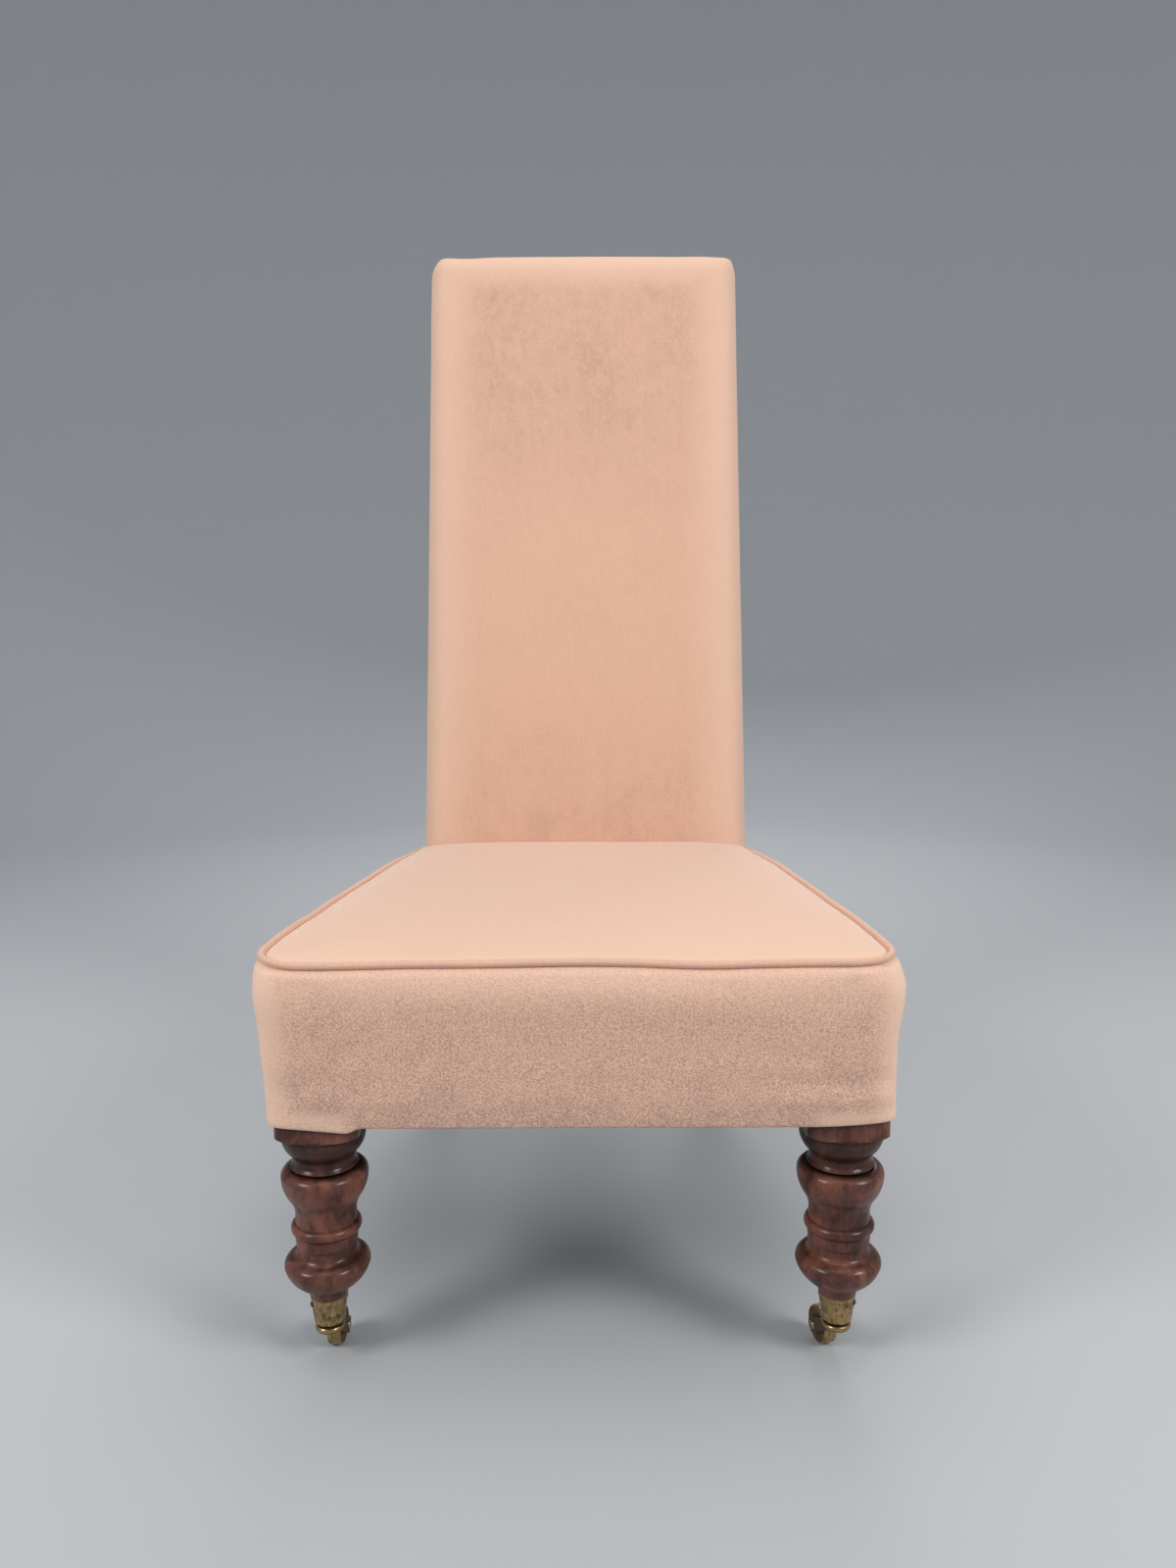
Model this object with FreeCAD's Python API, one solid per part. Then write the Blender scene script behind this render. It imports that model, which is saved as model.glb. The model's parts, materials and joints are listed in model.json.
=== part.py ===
import FreeCAD, Part
import math
import os

# A low upholstered slipper chair with turned front legs, raked back posts and swivel castors.
# Millimetres and degrees. X runs to the right as seen from the front, Y from the front to the
# back, Z up. Pieces are made with Y measured from the front face of the front leg blocks, and
# the whole chair is moved on export so that the origin is under the middle of its box.

Vector = FreeCAD.Vector
origin = Vector(0, 0, 0)
x_axis = Vector(1, 0, 0)
y_axis = Vector(0, 1, 0)
z_axis = Vector(0, 0, 1)

# Overall sizes
overall_height = 1073.2
seat_height = 357.2         # floor to the piping
seat_depth = 470.0          # front of the leg blocks to the front of the back, at the piping
leg_spread = 430.0          # between the front leg centres
back_width_low = 389.0      # at the piping
back_width_top = 375.0
back_thick = 75.0
back_rake = 9.0

# Seat frame
seat_build = 69.0           # top of the rails to the piping
rail_height = 62.0
rail_thick = 30.0
rail_proud = 10.0           # side rail outside the post's outer face
block_side = 67.0
block_edge = 8.0
block_shown = 19.0          # leg block below the rails
block_shoulder = 7.0
block_shoulder_swell = 2.0
glue_block_side = 37.0
glue_block_drop = 9.0

# Back frame
post_width = 46.0
post_depth = 34.0
post_side_pad = 4.5
knee_drop = 4.0             # seat rail underside to where the rear leg starts to sweep
foot_side = 27.0
foot_edge = 3.0
foot_sweep = 50.0
foot_curve = 1.4
leg_stations = (0.0, 0.34, 0.67, 1.0)         # shares of the rear leg, from the knee down
top_rail_height = 58.0
top_rail_cover = 12.0
stay_rail_height = 45.0
stay_rail_rise = 22.0

# Dowels, screws and tacks
dowel_radius = 5.0
dowel_length = 50.0
dowel_pitch = 26.0
dowel_clearance = 0.1
screw_head_radius = 2.4
screw_tip_radius = 1.4
screw_head_thick = 0.9
screw_radius = 1.2
screw_length = 9.0
screw_drop = 6.0            # below the cup's rim
screw_stand = 0.4
screw_turn = 30.0           # the line of a cup's two screws, from the chair's X
tack_head_radius = 4.0
tack_tip_radius = 2.8
tack_head_thick = 1.0
tack_radius = 0.9
tack_length = 9.0
tack_pitch = 42.0
tack_inset = 8.0

# Castors
wheel_radius = 16.0
wheel_width = 12.0
wheel_edge = 2.5
wheel_tread_swell = 0.3
wheel_edge_swell = 0.9
wheel_dish = 1.0
hub_radius = 6.0
trail = 24.0
plate_radius = 12.0
plate_thick = 5.0
plate_edge = 1.8
plate_clearance = 1.5       # between the plate's edge and the wheel
boss_radius = 8.0
cup_gap = 2.5
cup_height = 24.0
cup_top_radius = 15.6
cup_low_radius = 12.6
cup_wall = 1.5
cup_base = 4.0
arm_thick = 3.2
arm_gap = 0.6
arm_eye = 7.0
axle_radius = 2.5
axle_head_radius = 3.8
axle_tip_radius = 2.3
axle_head_thick = 1.2
pintle_radius = 4.0
pintle_head_radius = 6.5
pintle_tip_radius = 3.9
pintle_head_thick = 2.0
head_swell = 0.4
head_room = 1.0             # round a pintle's head, inside the toe
head_rise = 2.5             # over a pintle's head, inside the toe
running_clearance = 0.06
castor_turns = {"front_left": -2.0, "front_right": 16.0, "rear_left": -9.0, "rear_right": 12.0}

# Upholstery
cover_thick = 2.5
fit_gap = 0.3
piping_radius = 3.25
piping_stand = 8.0          # outer side of the piping outside the frame
boxing_turn_under = 4.0
seat_back_margin = 1.2      # seat frame line outside the padded back, at its rear
seat_crown = 13.0
edge_crown = 1.0
crown_reach = 0.65          # share of the seat's depth over which the crown rises
crown_stations = (-0.06, 0.06, 0.2, 0.4, crown_reach, 1.3)     # shares of the seat's depth
webbing_width = 52.0
webbing_thick = 1.6
spring_rows = 3
spring_wire = 4.0
spring_end_radius = 42.0
spring_waist_radius = 30.0
spring_turns = 5
spring_samples = 4          # points measured in each quarter turn
spring_skip = 8             # points next along the wire that aren't measured against each other
spring_step = 0.001         # share of a quarter turn over which the wire's direction is taken
spring_room = 5.0           # between the rear springs and the canvas
spring_in = 35.0            # leg block's inner face to the outer springs' centres
spring_back = 28.0          # leg block's rear face to the front springs' centres
strap_post_gap = 4.2        # between the outer straps and the back posts
canvas_thick = 1.2
canvas_slope = 30.0
canvas_edge = 12.0
stuffing_over = 25.0        # stuffing between the canvas and the cover, at the piping
cloth_thick = 1.2
back_crown = 5.0
back_corner = 20.0
back_top_round = 20.0
back_top_angles = (30, 55, 75, 90)             # sections round the top's curve
back_top_draw = 16.0        # how far the front draws back over the rounded top
back_side_share = 0.7       # share of that draw at the sides
back_corner_share = 0.5     # and off the corner radius
back_webbing_thick = 0.8
back_strap_count = 3
back_cross_count = 6

# Boxing levels: share of the height from the tacked edge to the piping, how far the cloth
# stands outside the frame there, and the radius of its front corners.
boxing_levels = [
    (0.00, 4.5, 13.0),
    (0.25, 5.0, 16.0),
    (0.45, 6.8, 21.0),
    (0.63, 8.6, 29.0),
    (0.81, 10.6, 36.0),
    (0.92, 11.0, 40.0),
    (1.00, 8.8, 43.0),
]

# Front leg turning, from the block down: height of each stretch, radius at its lower end
# and how far the stretch swells from a straight line (hollow if negative). The heights are
# stretched alike to fill the leg.
turning_top_radius = 34.5
turning = [
    (17.5, 29.0, 2.2),      # ovolo under the block
    (11.0, 27.3, -2.7),     # hollow
    (2.2, 27.3, 0.7),       # small bead
    (1.2, 26.4, 0.0),       # quirk
    (0.0, 28.4, 0.0),
    (7.1, 36.0, 2.3),       # shoulder of the vase
    (19.4, 29.6, 1.6),
    (13.8, 25.3, -1.1),
    (7.5, 25.6, -0.08),     # waist of the vase
    (9.6, 25.6, 3.6),       # bold bead
    (0.0, 26.3, 0.0),
    (9.2, 25.6, 0.0),       # collar
    (1.0, 24.4, 0.0),       # quirk
    (6.0, 24.3, -0.2),      # neck
    (4.5, 29.5, -1.0),      # cove
    (10.0, 35.2, 2.6),      # bun
    (17.4, 19.8, 2.4),
    (0.0, 18.6, 0.0),
    (9.6, cup_top_radius, 0.0),
]

# Sizes that follow from the ones above
rake_sin = math.sin(math.radians(back_rake))
rake_cos = math.cos(math.radians(back_rake))
corner_share = 1 - math.sqrt(0.5)
reach = 2 * overall_height
rail_top = seat_height - seat_build
rail_bottom = rail_top - rail_height
rail_middle = (rail_top + rail_bottom) / 2
leg_x = leg_spread / 2
leg_y = block_side / 2
block_inner = leg_x - block_side / 2
frame_half = leg_x + block_side / 2
block_bottom = rail_bottom - block_shown
plate_bottom = wheel_radius + math.sqrt((wheel_radius + plate_clearance) ** 2 - (trail - plate_radius) ** 2)
plate_top = plate_bottom + plate_thick
cup_bottom = plate_top + cup_gap
cup_top = cup_bottom + cup_height
toe_bottom = cup_bottom + cup_base
arm_inner = wheel_width / 2 + arm_gap
arm_outer = arm_inner + arm_thick
post_rear = back_thick - cover_thick - 2 * fit_gap
post_front = post_rear - post_depth
post_middle = (post_front + post_rear) / 2
back_length = (overall_height - seat_height + back_top_round * rake_sin) / rake_cos
post_top = back_length - top_rail_cover
knee_height = rail_bottom - knee_drop
canvas_bottom = rail_top + fit_gap
canvas_rise = seat_height - cover_thick - stuffing_over - canvas_bottom
spring_low = rail_bottom + fit_gap + spring_wire / 2
spring_high = canvas_bottom + canvas_rise - canvas_thick - fit_gap - spring_wire / 2
strap_bottom = rail_bottom - 2 * webbing_thick
cloth_bottom = strap_bottom - cloth_thick
boxing_bottom = rail_bottom - boxing_turn_under
boxing_top = seat_height - piping_radius - fit_gap
piping_grow = piping_stand - piping_radius
back_upright_depth = post_front - 2 * back_webbing_thick
back_canvas_depth = back_upright_depth - canvas_thick
front_extent = -max(level[1] for level in boxing_levels)
rear_extent = seat_depth + back_thick * rake_cos + back_length * rake_sin
y_middle = (front_extent + rear_extent) / 2


# The raked back has its own frame: x, depth n behind its front face, and length s from the piping
def back_y(n, z):
    return seat_depth + n / rake_cos + (z - seat_height) * rake_sin / rake_cos


def back_s(n, z):
    return (z - seat_height + n * rake_sin) / rake_cos


def back_half(s):
    return (back_width_low + (back_width_top - back_width_low) * s / back_length) / 2


def post_outer(s):
    return back_half(s) - post_side_pad


def post_inner(s):
    return post_outer(s) - post_width


def place_back(shape):
    shape.rotate(origin, x_axis, -back_rake)
    shape.translate(Vector(0, seat_depth, seat_height))
    return shape


rail_rear_y = back_y(post_front, rail_middle)
rail_rear_post = post_outer(back_s(post_front, rail_middle))
rail_slope = (rail_rear_post + rail_proud - frame_half) / (rail_rear_y - block_side)
back_low = back_s(back_thick, canvas_bottom) + 2 * fit_gap


def seat_rear_half(z):
    # Half width of the seat frame's line where it ends at the outside back.
    return back_half(back_s(back_thick, z)) + seat_back_margin


def seat_side_lead():
    # Angle at which the sides leave the front corners, so that the boxing clears the rails' front ends.
    grow, corner = boxing_levels[0][1:]
    draw = grow - cover_thick - fit_gap
    near = block_side - (corner - grow)
    far = back_y(post_rear, seat_height) + cover_thick - (corner - grow)
    taper = (frame_half - seat_rear_half(seat_height)) / far
    return (draw - taper * near ** 2 / far) / (near - near ** 2 / far)


def rail_outer(y):
    # X of the side rail's outer face.
    return frame_half + rail_slope * max(0.0, y - block_side)


# Plain shapes
def box(x0, x1, y0, y1, z0, z1):
    return Part.makeBox(x1 - x0, y1 - y0, z1 - z0, Vector(x0, y0, z0))


def cylinder(point, direction, radius, length):
    return Part.makeCylinder(radius, length, point, direction)


def line(a, b):
    return Part.LineSegment(a, b).toShape()


def arc(a, middle, b):
    return Part.Arc(a, middle, b).toShape()


def tangent_arc(a, along, b):
    # Arc from a to b that leaves a in the direction along.
    span = b - a
    bend = along - span * (along.dot(span) / span.dot(span))
    bend.normalize()
    turn = math.acos(max(-1.0, min(1.0, along.dot(span) / (along.Length * span.Length))))
    return arc(a, (a + b) * 0.5 + bend * (span.Length / 2 * math.tan(turn / 2)), b)


def slab(z0, z1):
    return box(-reach, reach, -reach, reach, z0, z1)


def prism(points, z, height):
    # Upright prism on a level polygon of (x, y).
    wire = Part.makePolygon([Vector(x, y, z) for x, y in points + points[:1]])
    return Part.Face(wire).extrude(Vector(0, 0, height))


def back_prism(points, n0, n1):
    # Prism on a polygon of (x, s) in the back's frame, from depth n0 to n1.
    wire = Part.makePolygon([Vector(x, n0, s) for x, s in points + points[:1]])
    return place_back(Part.Face(wire).extrude(Vector(0, n1 - n0, 0)))


def behind(n, top=reach):
    # Everything deeper than n in the back's frame, up to the length top.
    return place_back(box(-reach, reach, n, reach, -reach, top))


def bulged_edge(a, b, bulge):
    # Edge from a to b in the XZ plane, bowed by bulge away from the Z axis.
    if bulge == 0:
        return line(a, b)
    away = Vector(abs(a.z - b.z), 0, (a.x - b.x) * math.copysign(1, b.z - a.z))
    away.normalize()
    return arc(a, (a + b) * 0.5 + away * bulge, b)


def revolved(points):
    # Solid about Z. Points are (radius, height, bulge of the stretch that ends here).
    corners = [Vector(p[0], 0, p[1]) for p in points]
    edges = [line(corners[-1], corners[0])]
    for k in range(1, len(points)):
        bulge = points[k][2] if len(points[k]) > 2 else 0
        edges.append(bulged_edge(corners[k - 1], corners[k], bulge))
    return Part.Face(Part.Wire(edges)).revolve(origin, z_axis, 360)


def rounded_rectangle(cx, cy, width, depth, edge, z):
    # Level wire, drawn anticlockwise from the front right corner.
    a, b, k = width / 2, depth / 2, edge * corner_share
    corners = []
    for sx, sy in ((1, -1), (1, 1), (-1, 1), (-1, -1)):
        on_end = Vector(cx + sx * (a - edge), cy + sy * b, z)
        on_side = Vector(cx + sx * a, cy + sy * (b - edge), z)
        middle = Vector(cx + sx * (a - k), cy + sy * (b - k), z)
        corners.append((on_side, middle, on_end) if sx == sy else (on_end, middle, on_side))
    edges = []
    for number, (entry, middle, leave) in enumerate(corners):
        edges.append(arc(entry, middle, leave))
        edges.append(line(leave, corners[(number + 1) % len(corners)][0]))
    return Part.Wire(edges)


def drill(shape, tools):
    for tool in tools:
        shape = shape.cut(tool)
    return shape


# Dowels: each joint of each side has two, listed as (middle, direction)
def dowel_pair(point, direction, spread):
    direction = Vector(direction)
    direction.normalize()
    return [(point + spread * (share * dowel_pitch), direction) for share in (-0.5, 0.5)]


def dowel_joints(side):
    along_rail = Vector(side * rail_slope, 1, 0)
    up_back = Vector(0, rake_sin, rake_cos)
    rear_x = (rail_rear_post + rail_proud - rail_thick + rail_rear_post) / 2

    def post_point(s):
        return Vector(side * post_inner(s),
                      seat_depth + post_middle * rake_cos + s * rake_sin,
                      seat_height - post_middle * rake_sin + s * rake_cos)

    front_point = Vector(side * block_inner, rail_thick / 2, rail_middle)
    side_front = Vector(side * (frame_half - rail_thick / 2), block_side, rail_middle)
    side_rear = Vector(side * rear_x, rail_rear_y, rail_middle)
    return {
        "front_rail": dowel_pair(front_point, x_axis, z_axis),
        "side_rail_front": dowel_pair(side_front, along_rail, z_axis),
        "side_rail_rear": dowel_pair(side_rear, along_rail, z_axis),
        "back_rail": dowel_pair(post_point(back_s(post_middle, rail_middle)), x_axis, up_back),
        "stay_rail": dowel_pair(post_point(stay_rail_rise + stay_rail_height / 2), x_axis, up_back),
        "top_rail": dowel_pair(post_point(post_top - top_rail_height / 2), x_axis, up_back),
    }


def dowel_solid(place, grow=0.0):
    middle, direction = place
    length = dowel_length + 2 * grow
    return cylinder(middle - direction * (length / 2), direction, dowel_radius + grow, length)


def dowel_holes(*joints):
    places = [p for side in (-1, 1) for name in joints for p in dowel_joints(side)[name]]
    return [dowel_solid(p, dowel_clearance) for p in places]


# Castors, made at the origin with the wheel trailing along +Y and the floor at z = 0
def cup_radius(z):
    return cup_low_radius + (cup_top_radius - cup_low_radius) * (z - cup_bottom) / cup_height


def toe_cone(clearance):
    # The tapered toe that fills the cup.
    low = cup_radius(toe_bottom) - cup_wall - clearance
    high = cup_radius(cup_top) - cup_wall - clearance
    return Part.makeCone(low, high, cup_height - cup_base, Vector(0, 0, toe_bottom))


def leg_toe():
    # Toe with a hollow that clears the pintle's head.
    hollow_top = toe_bottom + pintle_head_thick + head_rise
    return toe_cone(fit_gap).cut(cylinder(origin, z_axis, pintle_head_radius + head_room, hollow_top))


def castor_cup():
    outer = revolved([
        (0, cup_bottom),
        (cup_low_radius - cup_wall, cup_bottom),
        (cup_radius(cup_bottom + cup_wall), cup_bottom + cup_wall, head_swell),
        (cup_top_radius, cup_top),
        (0, cup_top),
    ])
    bore = cylinder(origin, z_axis, pintle_radius + running_clearance, cup_top)
    return outer.cut(toe_cone(0)).cut(bore)


def tangent_point(point, centre, radius, side):
    # Where a line from point touches a circle in the YZ plane. Side picks one of the two.
    gap = point - centre
    turn = side * math.acos(radius / gap.Length)
    y, z = gap.y / gap.Length, gap.z / gap.Length
    toward = Vector(0, y * math.cos(turn) - z * math.sin(turn), y * math.sin(turn) + z * math.cos(turn))
    return centre + toward * radius


def fork_arm(x):
    # One flat arm from the plate to the axle, between x and x + arm_thick.
    eye = Vector(0, trail, wheel_radius)
    plate_reach = math.sqrt(plate_radius ** 2 - arm_outer ** 2)
    low = Vector(0, -plate_reach / 2, plate_bottom)
    high = Vector(0, plate_reach, plate_top - plate_edge)
    corner = Vector(0, low.y, high.z)
    low_touch = tangent_point(low, eye, arm_eye, 1)
    high_touch = tangent_point(high, eye, arm_eye, -1)
    outward = eye - (low + high) * 0.5
    outward.normalize()
    outline = Part.Wire([
        line(corner, low),
        line(low, low_touch),
        arc(low_touch, eye + outward * arm_eye, high_touch),
        line(high_touch, high),
        line(high, corner),
    ])
    arm = Part.Face(outline).extrude(Vector(arm_thick, 0, 0))
    arm.translate(Vector(x, 0, 0))
    return arm


def castor_fork():
    boss_top = cup_bottom - running_clearance
    edge_swell = plate_edge * corner_share
    plate = revolved([
        (0, plate_bottom),
        (plate_radius - plate_edge, plate_bottom),
        (plate_radius, plate_bottom + plate_edge, edge_swell),
        (plate_radius, plate_top - plate_edge),
        (plate_radius - plate_edge, plate_top, edge_swell),
        (boss_radius, plate_top),
        (boss_radius, boss_top),
        (0, boss_top),
    ])
    fork = plate.fuse(fork_arm(arm_inner)).fuse(fork_arm(-arm_outer)).removeSplitter()
    pintle_hole = cylinder(origin, z_axis, pintle_radius + running_clearance, cup_bottom)
    axle_start = Vector(-2 * arm_outer, trail, wheel_radius)
    axle_hole = cylinder(axle_start, x_axis, axle_radius + running_clearance, 4 * arm_outer)
    room_start = Vector(-arm_inner, trail, wheel_radius)
    wheel_room = cylinder(room_start, x_axis, wheel_radius + arm_gap, 2 * arm_inner)
    return drill(fork, [pintle_hole, axle_hole, wheel_room])


def castor_pintle():
    head_bottom = toe_bottom + running_clearance
    head_top = head_bottom + pintle_head_thick
    return revolved([
        (0, plate_bottom),
        (pintle_radius, plate_bottom),
        (pintle_radius, head_bottom),
        (pintle_head_radius, head_bottom),
        (pintle_tip_radius, head_top, head_swell),
        (0, head_top),
    ])


def on_axle(shape):
    # Lays a shape made about Z along the axle's line.
    shape.rotate(origin, y_axis, 90)
    shape.translate(Vector(0, trail, wheel_radius))
    return shape


def castor_wheel():
    half = wheel_width / 2
    dish = half - wheel_dish
    rim = wheel_radius - wheel_edge
    tread = wheel_radius - wheel_tread_swell
    flank = half - wheel_edge
    wheel = revolved([
        (0, -half),
        (hub_radius, -half),
        (hub_radius + wheel_dish, -dish),
        (rim - wheel_dish, -dish),
        (rim, -half),
        (tread, -flank, wheel_edge_swell),
        (tread, flank, wheel_tread_swell),
        (rim, half, wheel_edge_swell),
        (rim - wheel_dish, dish),
        (hub_radius + wheel_dish, dish),
        (hub_radius, half),
        (0, half),
    ])
    bore = cylinder(Vector(0, 0, -half), z_axis, axle_radius + running_clearance, wheel_width)
    return on_axle(wheel.cut(bore))


def castor_axle():
    end = arm_outer + running_clearance
    tip = end + axle_head_thick
    return on_axle(revolved([
        (0, -tip),
        (axle_tip_radius, -tip),
        (axle_head_radius, -end, head_swell),
        (axle_radius, -end),
        (axle_radius, end),
        (axle_head_radius, end),
        (axle_tip_radius, tip, head_swell),
        (0, tip),
    ]))


def cup_screws(turn, grow=0.0):
    # Two screws through a cup into the toe, on the line at turn degrees, or their holes.
    z = cup_top - screw_drop
    found = []
    for angle in (turn, turn + 180):
        out = Vector(math.cos(math.radians(angle)), math.sin(math.radians(angle)), 0)
        seat = out * (cup_radius(z) + screw_stand) + Vector(0, 0, z)
        shank = cylinder(seat, out * -1, screw_radius + grow, screw_length + grow)
        head = Part.makeCone(screw_head_radius, screw_tip_radius, screw_head_thick, seat, out)
        found.append(shank if grow else shank.fuse(head))
    return found


# Legs and posts
def front_leg():
    # Turned leg with its square block, on the axis x = y = 0.
    stretch = (block_bottom - cup_top) / sum(step[0] for step in turning)
    outline = [(0, block_bottom), (turning_top_radius, block_bottom)]
    z = block_bottom
    for height, radius, bulge in turning:
        z -= height * stretch
        outline.append((radius, z, bulge * stretch))
    turned = revolved(outline + [(0, cup_top)])
    half = block_side / 2
    corner = half * math.sqrt(2)
    block = box(-half, half, -half, half, block_bottom, rail_top)
    upright = [e for e in block.Edges if abs(e.tangentAt(e.FirstParameter).z) > 0.5]
    block = block.makeFillet(block_edge, upright)
    shoulder = revolved([
        (0, block_bottom),
        (turning_top_radius, block_bottom),
        (corner, block_bottom + block_shoulder, block_shoulder_swell),
        (corner, rail_top),
        (0, rail_top),
    ])
    return turned.fuse(block.common(shoulder)).fuse(leg_toe()).removeSplitter()


def rear_foot(side):
    # X and Y of a rear leg where it enters its castor cup.
    x = post_outer(back_s(post_front, knee_height)) - post_width / 2
    return side * x, back_y(post_middle, knee_height) + foot_sweep


def back_post(side):
    # Post and rear leg in one piece: straight above the knee, swept back below it.
    low = back_s(0, knee_height) - post_depth
    points = [(side * post_outer(low), low), (side * post_outer(post_top), post_top),
              (side * post_inner(post_top), post_top), (side * post_inner(low), low)]
    upper = back_prism(points, post_front, post_rear).common(slab(knee_height, reach))
    foot_x, foot_y = rear_foot(side)
    knee_depth = post_depth / rake_cos
    sections = []
    for share in leg_stations:
        z = knee_height + (cup_top - knee_height) * share
        y = foot_y - foot_sweep * (1 - share ** foot_curve)
        width = post_width + (foot_side - post_width) * share
        depth = knee_depth + (foot_side - knee_depth) * share
        sections.append(rounded_rectangle(foot_x, y, width, depth, foot_edge, z))
    toe = leg_toe()
    toe.translate(Vector(foot_x, foot_y, 0))
    return upper.fuse(Part.makeLoft(sections, True, False)).fuse(toe)


# Rails
def front_rail():
    return box(-block_inner, block_inner, 0, rail_thick, rail_bottom, rail_top)


def side_rail(side, post):
    # Skewed rail, notched over the post and stopped at the post's rear face.
    far = back_y(post_rear, rail_top)
    inner_far = rail_outer(far) - rail_thick
    points = [(side * frame_half, block_side), (side * rail_outer(far), far),
              (side * inner_far, far), (side * (frame_half - rail_thick), block_side)]
    rail = prism(points, rail_bottom, rail_height).cut(behind(post_rear))
    low = back_s(post_rear, rail_bottom)
    notch = [(0, low), (side * post_outer(low), low), (side * post_outer(0), 0), (0, 0)]
    return rail.cut(back_prism(notch, post_front, back_thick)).cut(post)


def back_bar(s0, s1, n0, n1):
    # Bar between the posts, from s0 to s1 along the back.
    points = [(-post_inner(s0), s0), (post_inner(s0), s0), (post_inner(s1), s1), (-post_inner(s1), s1)]
    return back_prism(points, n0, n1)


def back_rail():
    n0, n1 = post_middle - rail_thick / 2, post_middle + rail_thick / 2
    bar = back_bar(back_s(n0, rail_bottom - rail_thick), back_s(n1, rail_top + rail_thick), n0, n1)
    return bar.common(slab(rail_bottom, rail_top))


def glue_blocks():
    # Triangular blocks glued in the angles between the front legs and the front rail.
    found = []
    for side in (-1, 1):
        points = [(side * block_inner, rail_thick), (side * block_inner, rail_thick + glue_block_side),
                  (side * (block_inner - glue_block_side), rail_thick)]
        found.append(prism(points, rail_bottom + glue_block_drop, rail_height - 2 * glue_block_drop))
    return found


# Seat upholstery
def seat_outline(grow, corner, z):
    # Plan of the seat at height z, standing grow outside the frame.
    front = -grow
    half = frame_half + grow
    rear_y = back_y(post_rear, z) + cover_thick
    lead = seat_side_lead()
    k = corner * corner_share
    leave = Vector(half - corner + corner * math.cos(lead), front + corner + corner * math.sin(lead), z)
    right = [Vector(half - corner, front, z), Vector(half - k, front + k, z), leave,
             Vector(seat_rear_half(z) + grow, rear_y, z)]
    left = [Vector(-p.x, p.y, z) for p in right]
    side = tangent_arc(right[2], Vector(-math.sin(lead), math.cos(lead), 0), right[3])
    return Part.Wire([
        line(left[0], right[0]),
        arc(right[0], right[1], right[2]),
        side,
        line(right[3], left[3]),
        side.mirror(origin, x_axis),
        arc(left[2], left[1], left[0]),
    ])


def seat_side(y):
    # X of the seat's bowed side over the frame, on the arc that the plan follows.
    lead = seat_side_lead()
    start, inward = Vector(frame_half, 0, 0), Vector(-math.cos(lead), -math.sin(lead), 0)
    rear_y = back_y(post_rear, seat_height) + cover_thick
    span = Vector(seat_rear_half(seat_height), rear_y, 0) - start
    radius = span.dot(span) / (2 * span.dot(inward))
    centre = start + inward * radius
    return centre.x + math.sqrt(radius ** 2 - (max(0.0, y) - centre.y) ** 2)


def boxing_solid(inset, beyond=0.0):
    # The seat's padded sides as one solid, inset from the cloth and run on beyond both ends.
    levels = [(boxing_bottom + share * (boxing_top - boxing_bottom), grow - inset, corner - inset)
              for share, grow, corner in boxing_levels]
    if beyond:
        first, last = levels[0], levels[-1]
        levels = [(first[0] - beyond, *first[1:])] + levels + [(last[0] + beyond, *last[1:])]
    return Part.makeLoft([seat_outline(grow, corner, z) for z, grow, corner in levels], True, True)


def crown_solid(inset):
    # Everything under the seat's crowned top, made of sections across the seat.
    sections = []
    edge, low = seat_height - inset, rail_bottom - rail_height
    for share in crown_stations:
        y = share * seat_depth
        rise = min(1.0, max(0.0, share / crown_reach))
        crown = edge_crown + (seat_crown - edge_crown) * (1 - (1 - rise) ** 2)
        half = seat_side(y) + piping_grow
        a, b = Vector(-half, y, edge), Vector(half, y, edge)
        low_a, low_b = Vector(-half, y, low), Vector(half, y, low)
        sections.append(Part.Wire([
            arc(a, Vector(0, y, edge + crown), b),
            line(b, low_b),
            line(low_b, low_a),
            line(low_a, a),
        ]))
    return Part.makeLoft(sections, True, False)


def piping_outline():
    top_grow, top_corner = boxing_levels[-1][1:]
    return seat_outline(piping_grow, top_corner - top_grow + piping_grow, seat_height)


def piping_tube(radius):
    # The piped cord along the front and both sides of the seat, in one level line.
    edges = piping_outline().Edges
    path = Part.Wire([edges[k] for k in (4, 5, 0, 1, 2)])
    first = path.OrderedEdges[0]
    start = path.OrderedVertexes[0].Point
    ring = Part.Wire([Part.makeCircle(radius, start, first.tangentAt(first.FirstParameter))])
    return path.makePipeShell([ring], True, False)


def seat_dome(inset, rise):
    # The tapered dome over the springs, inset all round.
    sections = []
    low_edge = inset + canvas_edge
    for z, edge in ((canvas_bottom, low_edge), (canvas_bottom + rise, low_edge + canvas_slope)):
        rear = back_y(0, canvas_bottom) - edge + canvas_edge - 2 * fit_gap
        front_half = frame_half - edge
        rear_half = rail_outer(rear) - edge
        points = [(-front_half, edge), (front_half, edge), (rear_half, rear), (-rear_half, rear)]
        sections.append(Part.makePolygon([Vector(x, y, z) for x, y in points + points[:1]]))
    return Part.makeLoft(sections, True, True)


def canvas_flap(grow=0.0):
    # The canvas runs on under the back to the top of the back rail.
    half = post_inner(back_s(post_front, rail_top)) - tack_inset + grow
    front = back_y(0, canvas_bottom) - canvas_edge
    rear = back_y(post_middle, rail_top)
    return box(-half, half, front, rear, canvas_bottom, canvas_bottom + canvas_thick + grow)


def seat_canvas():
    hollow = seat_dome(canvas_thick, canvas_rise - canvas_thick)
    return seat_dome(0, canvas_rise).fuse(canvas_flap()).cut(hollow)


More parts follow.
